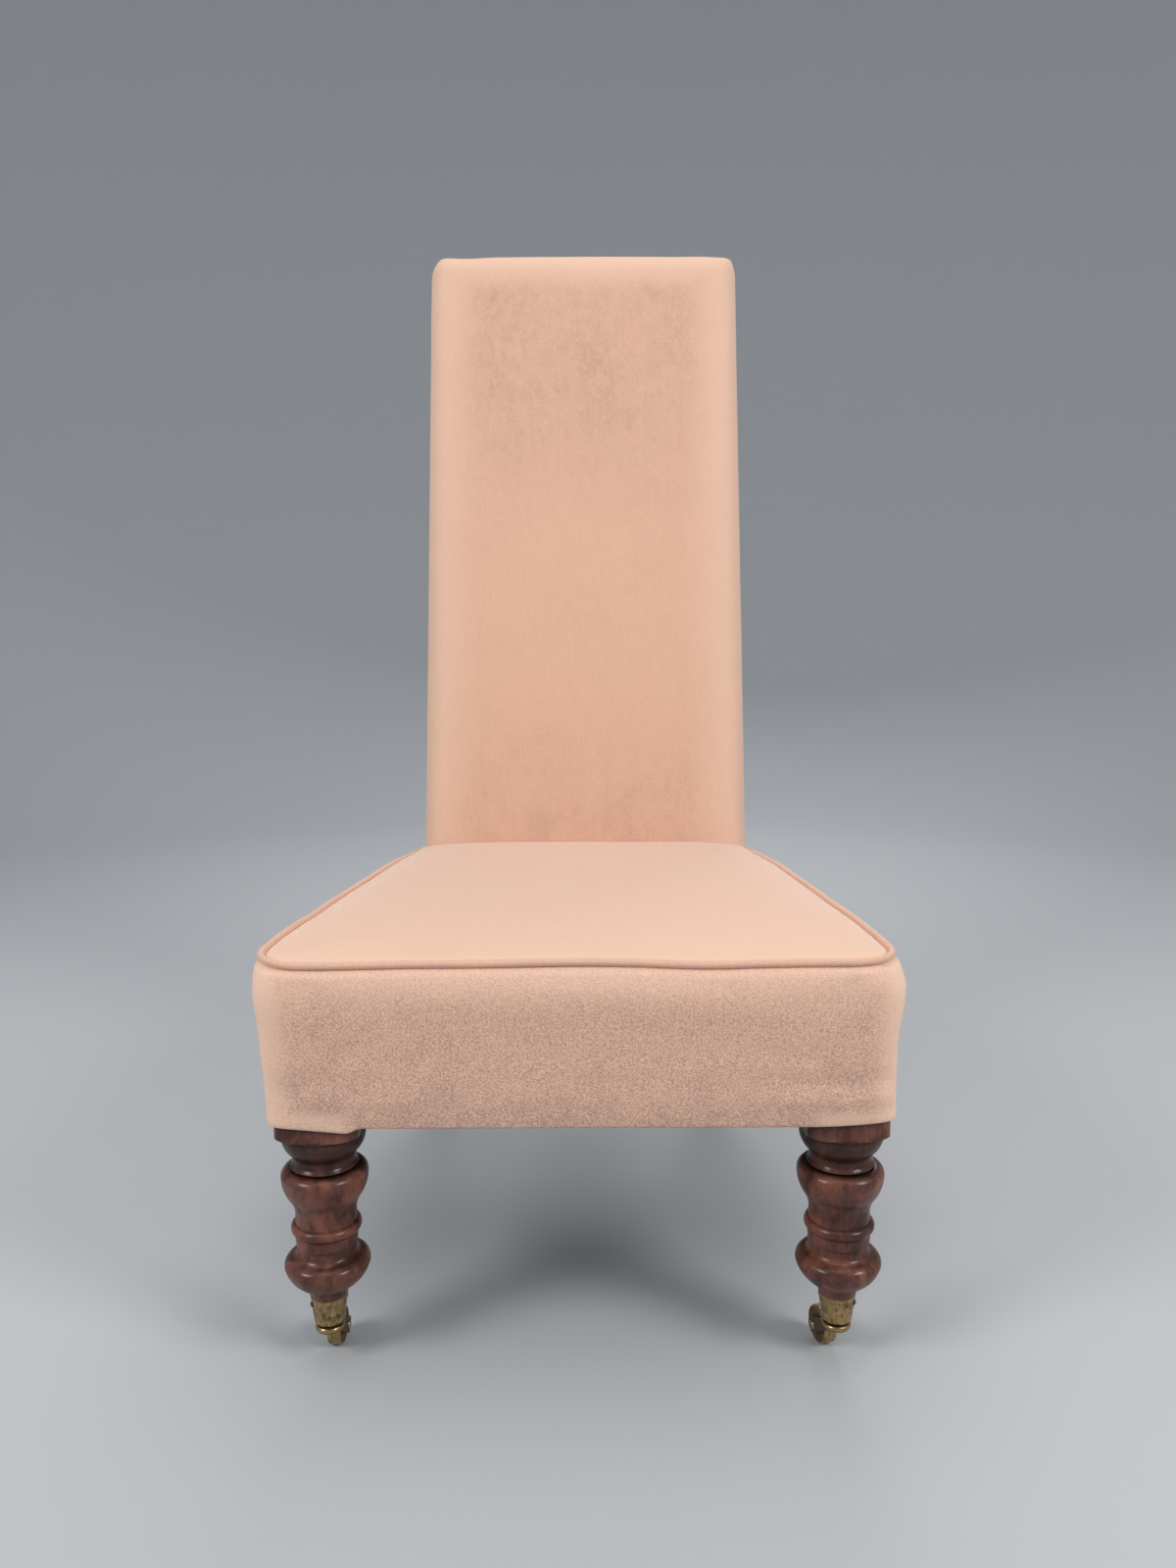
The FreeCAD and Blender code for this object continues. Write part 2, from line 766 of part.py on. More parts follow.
def biarc(a, along_a, b, along_b):
    # Two arcs from a to b that leave along along_a, arrive along along_b and meet smoothly.
    chord, both = b - a, along_a + along_b
    bend = 2 * (1 - along_a.dot(along_b))
    lean = chord.dot(both)
    span = (math.sqrt(lean ** 2 + bend * chord.dot(chord)) - lean) / bend
    meet = (a + along_a * span + b - along_b * span) * 0.5
    return [tangent_arc(a, along_a, meet), tangent_arc(b, along_b * -1, meet)]


def coil_spring():
    # Hourglass spring on the Z axis, one unbroken wire.
    quarters = 4 * spring_turns

    def point(q):
        share = q / quarters
        radius = spring_waist_radius + (spring_end_radius - spring_waist_radius) * (2 * share - 1) ** 2
        angle = math.radians(90 * q)
        height = spring_low + (spring_high - spring_low) * share
        return Vector(radius * math.cos(angle), radius * math.sin(angle), height)

    def along(q):
        direction = point(q + spring_step) - point(q - spring_step)
        direction.normalize()
        return direction

    edges = []
    for q in range(quarters):
        edges += biarc(point(q), along(q), point(q + 1), along(q + 1))
    path = Part.Wire(Part.sortEdges(edges)[0])
    ring = Part.Wire([Part.makeCircle(spring_wire / 2, point(0), along(0))])
    samples = [point(q / spring_samples) for q in range(spring_samples * quarters + 1)]
    pairs = [(a, b) for k, a in enumerate(samples) for b in samples[k + spring_skip:]]
    least = min((a - b).Length for a, b in pairs) - spring_wire
    print("least gap between a spring's turns", round(least, 2), "mm")
    return path.makePipeShell([ring], True, False)


def spring_places():
    # Rows of springs from the leg blocks to the back posts, narrower towards the back.
    margin = canvas_slope + canvas_thick + spring_end_radius + spring_wire + spring_room
    first, last = block_side + spring_back, back_y(0, canvas_bottom) - margin
    front_half = block_inner - spring_in
    rear_half = post_inner(back_s(post_front, rail_bottom)) - webbing_width / 2 - strap_post_gap
    places = []
    for row in range(spring_rows):
        share = row / (spring_rows - 1)
        y = first + (last - first) * share
        half = front_half + (rear_half - front_half) * share
        for column in range(spring_rows):
            places.append((half * (2 * column / (spring_rows - 1) - 1), y))
    return places


def seat_webbing():
    # Straps under the rails and the springs: one layer front to back, one layer across.
    straps = []
    places = spring_places()
    half = webbing_width / 2
    front, rear = 2 * tack_inset, back_y(post_middle, rail_bottom)
    upper, lower = rail_bottom - webbing_thick, strap_bottom
    for k in range(spring_rows):
        front_x, y = places[k][0], places[k * spring_rows][1]
        rear_x = places[-spring_rows + k][0]
        points = [(front_x - half, front), (front_x + half, front),
                  (rear_x + half, rear), (rear_x - half, rear)]
        straps.append(prism(points, upper, webbing_thick))
        end = rail_outer(y + half) - 2 * tack_inset
        straps.append(box(-end, end, y - half, y + half, lower, upper))
    return straps


def tack_places():
    # Along the outer edges of the four rails.
    def spaced(start, end):
        count = max(1, int((end - start) / tack_pitch))
        return [start + (end - start) * k / count for k in range(count + 1)]

    front_end = block_inner - tack_inset
    rear_end = post_inner(back_s(post_front, rail_bottom)) - 2 * tack_inset
    rear_y = back_y(post_middle + rail_thick / 2, rail_bottom) - tack_inset
    places = [(x, tack_inset) for x in spaced(-front_end, front_end)]
    places += [(x, rear_y) for x in spaced(-rear_end, rear_end)]
    for y in spaced(block_side + 2 * tack_inset, rail_rear_y - 2 * tack_inset):
        x = rail_outer(y) - tack_inset
        places += [(-x, y), (x, y)]
    return places


def tack_solid(x, y, grow=0.0):
    shank = cylinder(Vector(x, y, cloth_bottom), z_axis, tack_radius + grow, tack_length + grow)
    tip = Vector(x, y, cloth_bottom - tack_head_thick)
    head = Part.makeCone(tack_tip_radius, tack_head_radius, tack_head_thick, tip)
    return shank if grow else shank.fuse(head)


def bottom_cloth():
    # Thin cloth under the whole frame, cut round the legs.
    inset = 2 * fit_gap
    rear = back_y(post_rear, rail_bottom) - inset
    right = [(frame_half - inset, inset), (frame_half - inset, block_side), (rail_outer(rear) - inset, rear)]
    cloth = prism(right + [(-x, y) for x, y in reversed(right)], cloth_bottom, cloth_thick)
    for side in (-1, 1):
        x, half = side * leg_x, block_side / 2 + fit_gap
        block_room = box(x - half, x + half, leg_y - half, leg_y + half, 0, rail_bottom)
        x, half = rear_foot(side)[0], post_width / 2 + fit_gap
        knee_front = back_y(post_front, knee_height) - inset
        post_room = box(x - half, x + half, knee_front, knee_front + 2 * post_depth, 0, rail_bottom)
        cloth = drill(cloth, [block_room, post_room])
    return cloth


# Back upholstery
def back_section(grow, s, draw=0.0):
    # Section across the padded back at s. Draw pulls it in where the top rounds over.
    half = back_half(s) + grow - draw * back_side_share
    front = draw - grow
    edge = front + back_crown
    corner = back_corner + grow - draw * back_corner_share
    k = corner * corner_share
    right = [Vector(half, back_thick + grow, s), Vector(half, edge + corner, s),
             Vector(half - k, edge + k, s), Vector(half - corner, edge, s)]
    left = [Vector(-p.x, p.y, s) for p in right]
    return Part.Wire([
        line(left[0], right[0]),
        line(right[0], right[1]),
        arc(right[1], right[2], right[3]),
        arc(right[3], Vector(0, front, s), left[3]),
        arc(left[3], left[2], left[1]),
        line(left[1], left[0]),
    ])


def back_solid(grow, low):
    # The padded back from low up to its rounded top.
    spring_line = back_length - back_top_round
    sections = [back_section(grow, low), back_section(grow, spring_line)]
    for angle in back_top_angles:
        turn = math.radians(angle)
        s = spring_line + (back_top_round + grow) * math.sin(turn)
        sections.append(back_section(grow, s, back_top_draw * (1 - math.cos(turn))))
    return place_back(Part.makeLoft(sections, True, True))


def back_room(grow):
    # The space that the back takes where it passes through the seat.
    span = back_length / 2
    return place_back(Part.makeLoft([back_section(grow, -span), back_section(grow, span)], True, True))


def back_webbing():
    # Straps on the front of the posts: an upright layer, then a layer across.
    straps = []
    half = webbing_width / 2
    low, high = back_low + fit_gap, post_top - tack_inset
    upright, across = back_upright_depth, post_front - back_webbing_thick
    for k in range(back_strap_count):
        x = (k - (back_strap_count - 1) / 2) * 2 * post_inner(back_length) / back_strap_count
        straps.append(place_back(box(x - half, x + half, upright, across, low, high)))
    for k in range(back_cross_count):
        s = low + half + (high - low - webbing_width) * k / (back_cross_count - 1)
        end = post_outer(s + half) - 2 * tack_inset
        straps.append(place_back(box(-end, end, across, post_front, s - half, s + half)))
    return straps


def back_canvas():
    def half(s):
        return post_outer(s) - tack_inset

    low, high = back_low, post_top - tack_inset
    points = [(-half(low), low), (half(low), low), (half(high), high), (-half(high), high)]
    return back_prism(points, back_canvas_depth, back_upright_depth)


def back_cover():
    # Cloth over the front, sides and top, open at the rear and the foot.
    hollow = back_solid(-cover_thick, back_low - rail_height)
    return back_solid(0, back_low).cut(hollow).cut(behind(post_rear + fit_gap))


def back_stuffing():
    # Padding in front of the canvas and over the top rail.
    pad = back_solid(-cover_thick - fit_gap, back_low).cut(behind(post_rear))
    return pad.cut(behind(back_canvas_depth - fit_gap, post_top + fit_gap))


def outside_back():
    # Cloth panel that closes the rear of the frame, down to the seat's underside.
    whole = back_solid(-fit_gap, back_s(back_thick, rail_bottom))
    return whole.common(behind(post_rear + 2 * fit_gap))


# The whole chair
def frame_nodes():
    feet = castor_places()
    lines = {"front_left": 180 + screw_turn, "front_right": -screw_turn,
             "rear_left": 180 - screw_turn, "rear_right": screw_turn}
    nodes = {"castor_screws": []}
    tack_holes = [tack_solid(x, y, running_clearance) for x, y in tack_places()]
    screw_holes = {}
    for name, (x, y) in feet.items():
        screws = cup_screws(lines[name])
        screw_holes[name] = cup_screws(lines[name], running_clearance)
        for solid in screws + screw_holes[name]:
            solid.translate(Vector(x, y, 0))
        nodes["castor_screws"] += screws
        cup = castor_cup()
        cup.translate(Vector(x, y, 0))
        nodes["castor_cup_" + name] = drill(cup, screw_holes[name])
    for hand, side in (("left", -1), ("right", 1)):
        leg = front_leg()
        leg.translate(Vector(side * leg_x, leg_y, 0))
        post = back_post(side)
        rail = side_rail(side, post)
        leg_joints = dowel_holes("front_rail", "side_rail_front")
        post_joints = dowel_holes("side_rail_rear", "back_rail", "stay_rail", "top_rail")
        rail_joints = dowel_holes("side_rail_front", "side_rail_rear")
        nodes["front_leg_" + hand] = drill(leg, leg_joints + screw_holes["front_" + hand])
        nodes["back_post_" + hand] = drill(post, post_joints + screw_holes["rear_" + hand])
        nodes["side_rail_" + hand] = drill(rail, rail_joints + tack_holes)
    bar_rear = post_middle + rail_thick / 2
    stay = back_bar(stay_rail_rise, stay_rail_rise + stay_rail_height, post_front, bar_rear)
    top = back_bar(post_top - top_rail_height, post_top, post_front, bar_rear)
    nodes["front_rail"] = drill(front_rail(), dowel_holes("front_rail") + tack_holes)
    nodes["back_rail"] = drill(back_rail(), dowel_holes("back_rail") + tack_holes)
    nodes["stay_rail"] = drill(stay, dowel_holes("stay_rail"))
    nodes["top_rail"] = drill(top, dowel_holes("top_rail"))
    nodes["glue_blocks"] = glue_blocks()
    nodes["frame_dowels"] = []
    for pair in [*dowel_joints(-1).values(), *dowel_joints(1).values()]:
        nodes["frame_dowels"] += [dowel_solid(place) for place in pair]
    nodes["bottom_cloth"] = drill(bottom_cloth(), tack_holes)
    nodes["bottom_tacks"] = [tack_solid(x, y) for x, y in tack_places()]
    return nodes


def castor_places():
    return {"front_left": (-leg_x, leg_y), "front_right": (leg_x, leg_y),
            "rear_left": rear_foot(-1), "rear_right": rear_foot(1)}


def castor_nodes():
    nodes = {}
    makers = {"fork": castor_fork, "pintle": castor_pintle, "wheel": castor_wheel, "axle": castor_axle}
    for name, (x, y) in castor_places().items():
        for piece, make in makers.items():
            solid = make()
            solid.rotate(origin, z_axis, castor_turns[name])
            solid.translate(Vector(x, y, 0))
            nodes[f"castor_{piece}_{name}"] = solid
    return nodes


def seat_nodes():
    room = back_room(fit_gap)
    inner = cover_thick + fit_gap
    springs = []
    spring = coil_spring()
    for x, y in spring_places():
        springs.append(spring.translated(Vector(x, y, 0)))
    stuffing = boxing_solid(inner, rail_height).common(crown_solid(inner)).common(slab(canvas_bottom, reach))
    stuffing = drill(stuffing, [seat_dome(-fit_gap, canvas_rise + fit_gap), canvas_flap(fit_gap),
                                piping_tube(piping_radius + fit_gap), room])
    boxing = boxing_solid(0).cut(boxing_solid(cover_thick, rail_height)).cut(room)
    top_grow, top_corner = boxing_levels[-1][1:]
    panel_grow = piping_grow - piping_radius - fit_gap
    panel_corner = top_corner - top_grow + panel_grow
    panel_levels = (seat_height - rail_height, seat_height + rail_height)
    panel_ends = [seat_outline(panel_grow, panel_corner, z) for z in panel_levels]
    panel = crown_solid(0).cut(crown_solid(cover_thick)).common(Part.makeLoft(panel_ends, True, True))
    return {
        "seat_springs": springs,
        "seat_webbing": seat_webbing(),
        "seat_canvas": seat_canvas(),
        "seat_stuffing": stuffing,
        "seat_boxing": boxing,
        "seat_top_cover": panel.cut(room),
        "seat_piping": piping_tube(piping_radius).cut(room),
    }


def back_nodes():
    return {
        "back_webbing": back_webbing(),
        "back_canvas": back_canvas(),
        "back_stuffing": back_stuffing(),
        "back_cover": back_cover(),
        "outside_back": outside_back(),
    }


def export(nodes):
    os.makedirs("parts", exist_ok=True)
    for name, made in nodes.items():
        solids = []
        for shape in made if isinstance(made, list) else [made]:
            solids += shape.Solids
        whole = solids[0] if len(solids) == 1 else Part.makeCompound(solids)
        whole.translate(Vector(0, -y_middle, 0))
        whole.exportStep(os.path.join("parts", name + ".step"))
        state = "valid" if whole.isValid() else "not valid"
        print(f"{name}: {len(solids)} solid(s), {whole.Volume / 1000:.1f} cm3, {state}")


export({**frame_nodes(), **castor_nodes(), **seat_nodes(), **back_nodes()})
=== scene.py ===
import json
import bmesh
import bpy
from math import asin, copysign, cos, exp, hypot, pi, radians, sin
from mathutils import Matrix, Vector, noise
from mathutils.bvhtree import BVHTree


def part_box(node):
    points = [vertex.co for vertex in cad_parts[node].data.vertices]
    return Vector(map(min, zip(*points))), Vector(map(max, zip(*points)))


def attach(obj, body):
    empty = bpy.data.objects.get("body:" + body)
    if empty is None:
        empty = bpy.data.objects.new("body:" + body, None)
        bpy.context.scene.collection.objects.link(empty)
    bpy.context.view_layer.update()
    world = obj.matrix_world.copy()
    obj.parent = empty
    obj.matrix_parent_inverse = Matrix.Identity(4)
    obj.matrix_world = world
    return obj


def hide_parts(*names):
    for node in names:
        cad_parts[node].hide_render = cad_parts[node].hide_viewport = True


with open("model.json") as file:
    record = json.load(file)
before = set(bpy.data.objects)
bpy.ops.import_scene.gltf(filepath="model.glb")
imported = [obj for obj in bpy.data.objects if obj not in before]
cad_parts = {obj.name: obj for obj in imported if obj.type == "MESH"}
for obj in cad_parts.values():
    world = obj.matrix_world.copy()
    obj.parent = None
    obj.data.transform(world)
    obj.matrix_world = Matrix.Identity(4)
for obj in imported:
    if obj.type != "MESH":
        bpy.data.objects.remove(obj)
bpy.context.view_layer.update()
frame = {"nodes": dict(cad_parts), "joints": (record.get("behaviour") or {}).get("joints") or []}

# The slipper chair's looks: velvet seat and back, polished legs, brass castors. Metres, front towards -Y.

scene = bpy.context.scene
scene.view_settings.view_transform = "Standard"
print("frame loaded:", len(frame["nodes"]), "nodes")


# Camera at the photograph's viewing angle

cameraView = dict(
    place=(0.0058, -1.1827, 0.6068),
    tilt=7.24,  # degrees below level
    roll=-0.22,  # degrees
    focalPixels=1150.0,  # for a picture 1600 pixels high
    pictureHeight=1600.0,
    sensor=36.0,  # millimetres along the picture's height
    clipStart=0.02,
)


def addCamera(view):
    data = bpy.data.cameras.new("camera")
    data.sensor_width = view["sensor"]
    data.lens = view["sensor"] * view["focalPixels"] / view["pictureHeight"]
    data.clip_start = view["clipStart"]
    camera = bpy.data.objects.new("camera", data)
    turn = Matrix.Rotation(radians(90 - view["tilt"]), 4, "X")
    turn = turn @ Matrix.Rotation(radians(view["roll"]), 4, "Z")
    camera.matrix_world = Matrix.Translation(view["place"]) @ turn
    scene.collection.objects.link(camera)
    scene.camera = camera


addCamera(cameraView)
print("camera placed")


# Small helpers for nodes

def setInputs(node, values):
    for name, value in values.items():
        socket = node.inputs[name]
        if isinstance(value, Signal):
            value.tree.links.new(value.socket, socket)
        elif isinstance(value, tuple):
            socket.default_value = (*value, 1.0)[:len(socket.default_value)]  # a colour gets its alpha
        else:
            socket.default_value = value


class Signal:
    # A node's output, with arithmetic that adds the nodes it needs.
    def __init__(self, socket):
        self.socket, self.tree = socket, socket.id_data

    def through(self, kind, values, output=0, **settings):
        node = self.tree.nodes.new("ShaderNode" + kind)
        for name, value in settings.items():
            setattr(node, name, value)
        setInputs(node, values)
        return Signal(node.outputs[output])

    def apply(self, operation, other=0.0, clamp=False):
        return self.through("Math", {0: self, 1: other}, operation=operation, use_clamp=clamp)

    def __add__(self, other):
        return self.apply("ADD", other)

    def __sub__(self, other):
        return self.apply("SUBTRACT", other)

    def __mul__(self, other):
        return self.apply("MULTIPLY", other)

    def __truediv__(self, other):
        return self.apply("DIVIDE", other)

    def span(self, low, high, toLow=0.0, toHigh=1.0):
        values = {"Value": self, "From Min": low, "From Max": high, "To Min": toLow, "To Max": toHigh}
        return self.through("MapRange", values, "Result", interpolation_type="SMOOTHSTEP")

    def noise(self, scale, detail=3.0, rough=0.55, twist=0.0):
        if isinstance(scale, tuple):  # a scale for each axis
            stretched = self.through("Mapping", {"Vector": self, "Scale": scale}, "Vector")
            return stretched.noise(1.0, detail, rough, twist)
        values = {"Vector": self, "Scale": scale, "Detail": detail, "Roughness": rough, "Distortion": twist}
        return self.through("TexNoise", values, "Fac")

    def mark(self, settings, ends):
        return self.noise(*settings).span(*ends)

    def mix(self, first, second):  # sockets of the node's colour form
        return self.through("Mix", {0: self, 6: first, 7: second}, 2, data_type="RGBA")

    def bump(self, strength, depth):
        return self.through("Bump", {"Height": self, "Strength": strength, "Distance": depth}, "Normal")

    def parts(self):
        node = self.through("SeparateXYZ", {0: self}).socket.node
        return {axis: Signal(node.outputs[axis]) for axis in "XYZ"}


def newGroup(name, colours, values, results):
    tree = bpy.data.node_groups.new(name, "ShaderNodeTree")
    kinds = {"Place": "Vector", **dict.fromkeys(colours, "Color"), **dict.fromkeys(values, "Float")}
    for label, kind in kinds.items():
        tree.interface.new_socket(label, in_out="INPUT", socket_type="NodeSocket" + kind)
    for label in results:
        kind = "Color" if label == "Color" else "Float"
        tree.interface.new_socket(label, in_out="OUTPUT", socket_type="NodeSocket" + kind)
    entry, leave = tree.nodes.new("NodeGroupInput"), tree.nodes.new("NodeGroupOutput")
    return tree, {label: Signal(entry.outputs[label]) for label in kinds}, leave


def useGroup(group, place, values):
    node = place.tree.nodes.new("ShaderNodeGroup")
    node.node_tree = group
    setInputs(node, {"Place": place, **values})
    return {socket.name: Signal(socket) for socket in node.outputs}


def newMaterial(name):
    material = bpy.data.materials.new(name)
    material.use_nodes = True
    nodes = material.node_tree.nodes
    place = Signal(nodes.new("ShaderNodeTexCoord").outputs["Object"])
    return material, nodes["Principled BSDF"], place


def strongest(place, patches, least=0.0):
    # A mask of patches, each an amount and the spans of |x|, y or height over which it grows.
    if not patches:
        return least
    spots = place.parts()
    spots["X"] = spots["X"].apply("ABSOLUTE")
    for amount, *spans in patches:
        share = amount
        for axis, low, high in spans:
            share = spots[axis].span(low, high) * share
        least = share.apply("MAXIMUM", least)
    return least


# Shared effects. A mark is a noise's scale, detail, roughness and twist, then the span of it that is used

pileLook = dict(
    marks=dict(
        pebble=((690.0, 2.0, 0.65, 0.2), (0.36, 0.66)),
        stria=(((340.0, 24.0, 24.0), 2.0, 0.5), (0.40, 0.66)),
        patch=((17.0, 6.0, 0.62, 0.5), (0.46, 0.72)),
        cloud=((18.0, 3.0, 0.55), (0.30, 0.70, 0.55, 1.0)),
        mottle=(((95.0, 95.0, 60.0), 6.0, 0.68, 0.4), (0.30, 0.72)),
        fleck=((330.0, 3.0, 0.6), (0.36, 0.66)),
        # sheen speck: pale specks, painted sheen on the pile's tips
        sheenSpeck=((730.0, 1.0, 0.5, 0.2), (0.50, 0.68)),
    ),
    striaShare=0.06, mottleShare=0.75, fleckShare=0.35, plainDarkening=0.12, sheenSpeckShare=0.75,
    rough=(0.82, 0.96),
    tuft=(1500.0, 2.0), tuftHeight=0.35, pebbleHeight=(0.0, 0.4, 0.25, 0.8),
)


def makePileGroup():
    form = pileLook
    values = ("Pebble Amount", "Patch Amount", "Darkening", "Painted Sheen")
    tree, given, made = newGroup("pile", ("Base", "Shade", "Pale"), values, ("Color", "Roughness", "Height"))
    place, amount = given["Place"], given["Pebble Amount"]
    marks = {name: place.mark(*mark) for name, mark in form["marks"].items()}
    pebble = marks["pebble"]
    dark = pebble * amount + marks["stria"] * form["striaShare"] + marks["patch"] * given["Patch Amount"]
    darkMottle = marks["mottle"] * form["mottleShare"] + marks["fleck"] * form["fleckShare"] + form["plainDarkening"]
    # dark patches: worn nap, and painted shade where a material asks for it
    dark = dark.apply("ADD", marks["cloud"] * darkMottle * given["Darkening"], clamp=True)
    tone = dark.mix(given["Base"], given["Shade"])
    # pale specks: painted sheen glints on the pile's tips
    tone = (marks["sheenSpeck"] * (amount * form["sheenSpeckShare"])).mix(tone, given["Pale"])
    height = place.noise(*form["tuft"]) * form["tuftHeight"] - pebble * amount.span(*form["pebbleHeight"])
    # Painted Sheen pales the whole tone towards Pale: painted sheen and light.
    setInputs(made, {"Color": given["Painted Sheen"].mix(tone, given["Pale"]), "Height": height,
                     "Roughness": pebble.span(0.0, 1.0, *form["rough"])})
    return tree


grainLook = dict(
    figure=((44.0, 44.0, 26.0), 5.0, 0.58, 0.8),
    fibre=((620.0, 620.0, 40.0), 3.0, 0.6),
    pore=(((900.0, 900.0, 75.0), 2.0, 0.5), (0.56, 0.68)),
    figureShare=0.82, fibreShare=0.18, toneSpan=(0.34, 0.66),
    fibreHeight=0.4, poreDepth=0.6,
)


def makeGrainGroup():
    form = grainLook
    tree, given, made = newGroup("grain", ("Dark", "Light", "Fleck"), ("Fleck Amount",), ("Color", "Height"))
    place = given["Place"]
    fibre, pore = place.noise(*form["fibre"]), place.mark(*form["pore"])
    blend = place.noise(*form["figure"]) * form["figureShare"] + fibre * form["fibreShare"]
    tone = blend.span(*form["toneSpan"]).mix(given["Dark"], given["Light"])
    setInputs(made, {"Color": (pore * given["Fleck Amount"]).mix(tone, given["Fleck"]),
                     "Height": fibre * form["fibreHeight"] - pore * form["poreDepth"]})
    return tree


grimeAndShadeLook = dict(
    samples=8,
    hollow=(0.90, 0.42),  # how open the surface is, from clean to full of dirt and painted shade
    blotch=(5.0, 0.62, 0.6), blotchSpan=(0.42, 0.66), patchy=(0.2, 0.6, 0.6, 1.0),
    dent=((210.0, 2.0, 0.5), (0.66, 0.76)),
)


def makeGrimeAndShadeGroup():
    # Dirt and old polish in blotches and small dents, and a mask of the hollows: dirt with painted shade on
    # the wood, tarnish on the metals.
    form = grimeAndShadeLook
    tree, given, made = newGroup("grimeAndShade", (), ("Reach", "Scale"), ("Hollow", "Blotch", "Dent"))
    place, reach = given["Place"], given["Reach"]
    shut = reach.through("AmbientOcclusion", {"Distance": reach}, "AO", samples=form["samples"])
    blotch = place.noise(given["Scale"], *form["blotch"])
    setInputs(made, {"Hollow": shut.span(*form["hollow"]) * blotch.span(*form["patchy"]),
                     "Blotch": blotch.span(*form["blotchSpan"]), "Dent": place.mark(*form["dent"])})
    return tree


weaveLook = dict(over=(-0.7, 0.7), slub=((40.0, 420.0, 420.0), 3.0))


def makeWeaveGroup():
    tree, given, made = newGroup("weave", (), ("Thread",), ("Over", "Slub"))
    place, thread = given["Place"], given["Thread"]
    parts = place.parts()
    warp, weft = [(way * pi / thread).apply("SINE") for way in (parts["X"], parts["Y"] + parts["Z"])]
    setInputs(made, {"Over": (warp * weft).span(*weaveLook["over"]), "Slub": place.noise(*weaveLook["slub"])})
    return tree


pileGroup, grainGroup = makePileGroup(), makeGrainGroup()
grimeAndShadeGroup, weaveGroup = makeGrimeAndShadeGroup(), makeWeaveGroup()
print("shared effects built")


# Finishes. Patches are as in strongest(), and a bump is its strength and depth

velvetFinish = dict(
    # Pale is the tone of the painted sheen and of the pale specks.
    tones=dict(Base=(0.715, 0.440, 0.320), Shade=(0.48, 0.285, 0.210), Pale=(0.770, 0.525, 0.400)),
    bump=(0.32, 0.0007),
    shader={"Sheen Weight": 0.60, "Sheen Roughness": 0.30, "Sheen Tint": (1.0, 0.96, 0.92),
            "Specular IOR Level": 0.12},
)
backWorn = [
    (0.42, ("Z", 0.580, 0.380)),  # darker towards the bottom
    (0.58, ("Z", 0.72, 0.92), ("Z", 1.080, 1.020), ("X", 0.185, 0.10175)),  # brushed the wrong way
]
# Painted sheen and light: the pile paled towards the Pale tone where the lamps and sheen fall.
backPaintedSheen = [
    (0.75, ("X", 0.110, 0.192)),  # painted sheen along the sides
    (0.70, ("Z", 1.020, 1.068)),  # painted sheen along the top
]
boxingPaintedShade = [(0.50, ("Z", 0.285, 0.240))]  # painted shade: darker and greyer over the lower half
boxingPaintedSheen = [
    (0.92, ("X", 0.222, 0.254)),  # painted sheen at the corners
    (0.74, ("Y", -0.314, -0.270)),  # painted sheen and light on the sides
    (0.50, ("Z", 0.312, 0.350)),  # painted light on the bulge under the piping
    (0.60, ("X", 0.176, 0.196), ("Z", 0.240, 0.229)),  # painted sheen where the cloth is tight over the leg blocks
]
boxingShade = (0.40, 0.256, 0.206)  # pile lies the other way


def makeVelvet(name, pebble, patch, pale=0.0, darkPatches=(), sheenPatches=(), level=1.0, shade=None):
    finish = velvetFinish
    material, shader, place = newMaterial(name)
    tones = {**finish["tones"], "Shade": shade or finish["tones"]["Shade"]}
    tones = {label: tuple(level * part for part in tone) for label, tone in tones.items()}
    nap = {"Pebble Amount": pebble, "Patch Amount": patch}
    # Darkening comes from worn nap, and from painted shade on the boxing's lower half.
    masks = {"Darkening": strongest(place, darkPatches), "Painted Sheen": strongest(place, sheenPatches, pale)}
    # Painted Sheen pales the pile towards the Pale tone: painted sheen and light.
    pile = useGroup(pileGroup, place, {**tones, **nap, **masks})
    setInputs(shader, {**finish["shader"], "Base Color": pile["Color"], "Roughness": pile["Roughness"],
                       "Normal": pile["Height"].bump(*finish["bump"])})
    return material


woodFinish = dict(
    grimeScale=70.0, hollow=0.95, blotch=0.3,
    dulled=0.16,  # roughness that the blotches add
    dent=1.6, bump=(0.25, 0.0004),
    shader={"Coat Roughness": 0.15, "Specular IOR Level": 0.18},
)


def makeWood(name, dark, light, fleck, fleckAmount, coat, rough, hollowShade, reach, paintedShade=()):
    finish = woodFinish
    material, shader, place = newMaterial(name)
    tones = {"Dark": dark, "Light": light, "Fleck": fleck, "Fleck Amount": fleckAmount}
    grain = useGroup(grainGroup, place, tones)
    grimeAndShade = useGroup(grimeAndShadeGroup, place, {"Reach": reach, "Scale": finish["grimeScale"]})
    # Hollows darkened nearly to black: dirt and painted shade.
    shaded = (grimeAndShade["Hollow"] * finish["hollow"]).mix(grain["Color"], hollowShade)
    shaded = (grimeAndShade["Blotch"] * finish["blotch"]).mix(shaded, hollowShade)
    # painted shade under the leg blocks, where given
    if paintedShade:
        shaded = strongest(place, paintedShade).mix(shaded, hollowShade)
    height = grain["Height"] - grimeAndShade["Dent"] * finish["dent"]
    setInputs(shader, {**finish["shader"], "Base Color": shaded, "Coat Weight": coat,
                       "Normal": height.bump(*finish["bump"]),
                       "Roughness": grimeAndShade["Blotch"].span(0.0, 1.0, rough, rough + finish["dulled"])})
    return material


metalFinish = dict(
    grimeScale=170.0, blotchShare=0.75, streakShare=0.5,
    streak=(((420.0, 420.0, 60.0), 4.0, 0.6), (0.42, 0.68)),
    oldMetal=0.72,  # metallic share under the oldest tarnish
    dent=2.0, bump=(0.14, 0.0002),
)


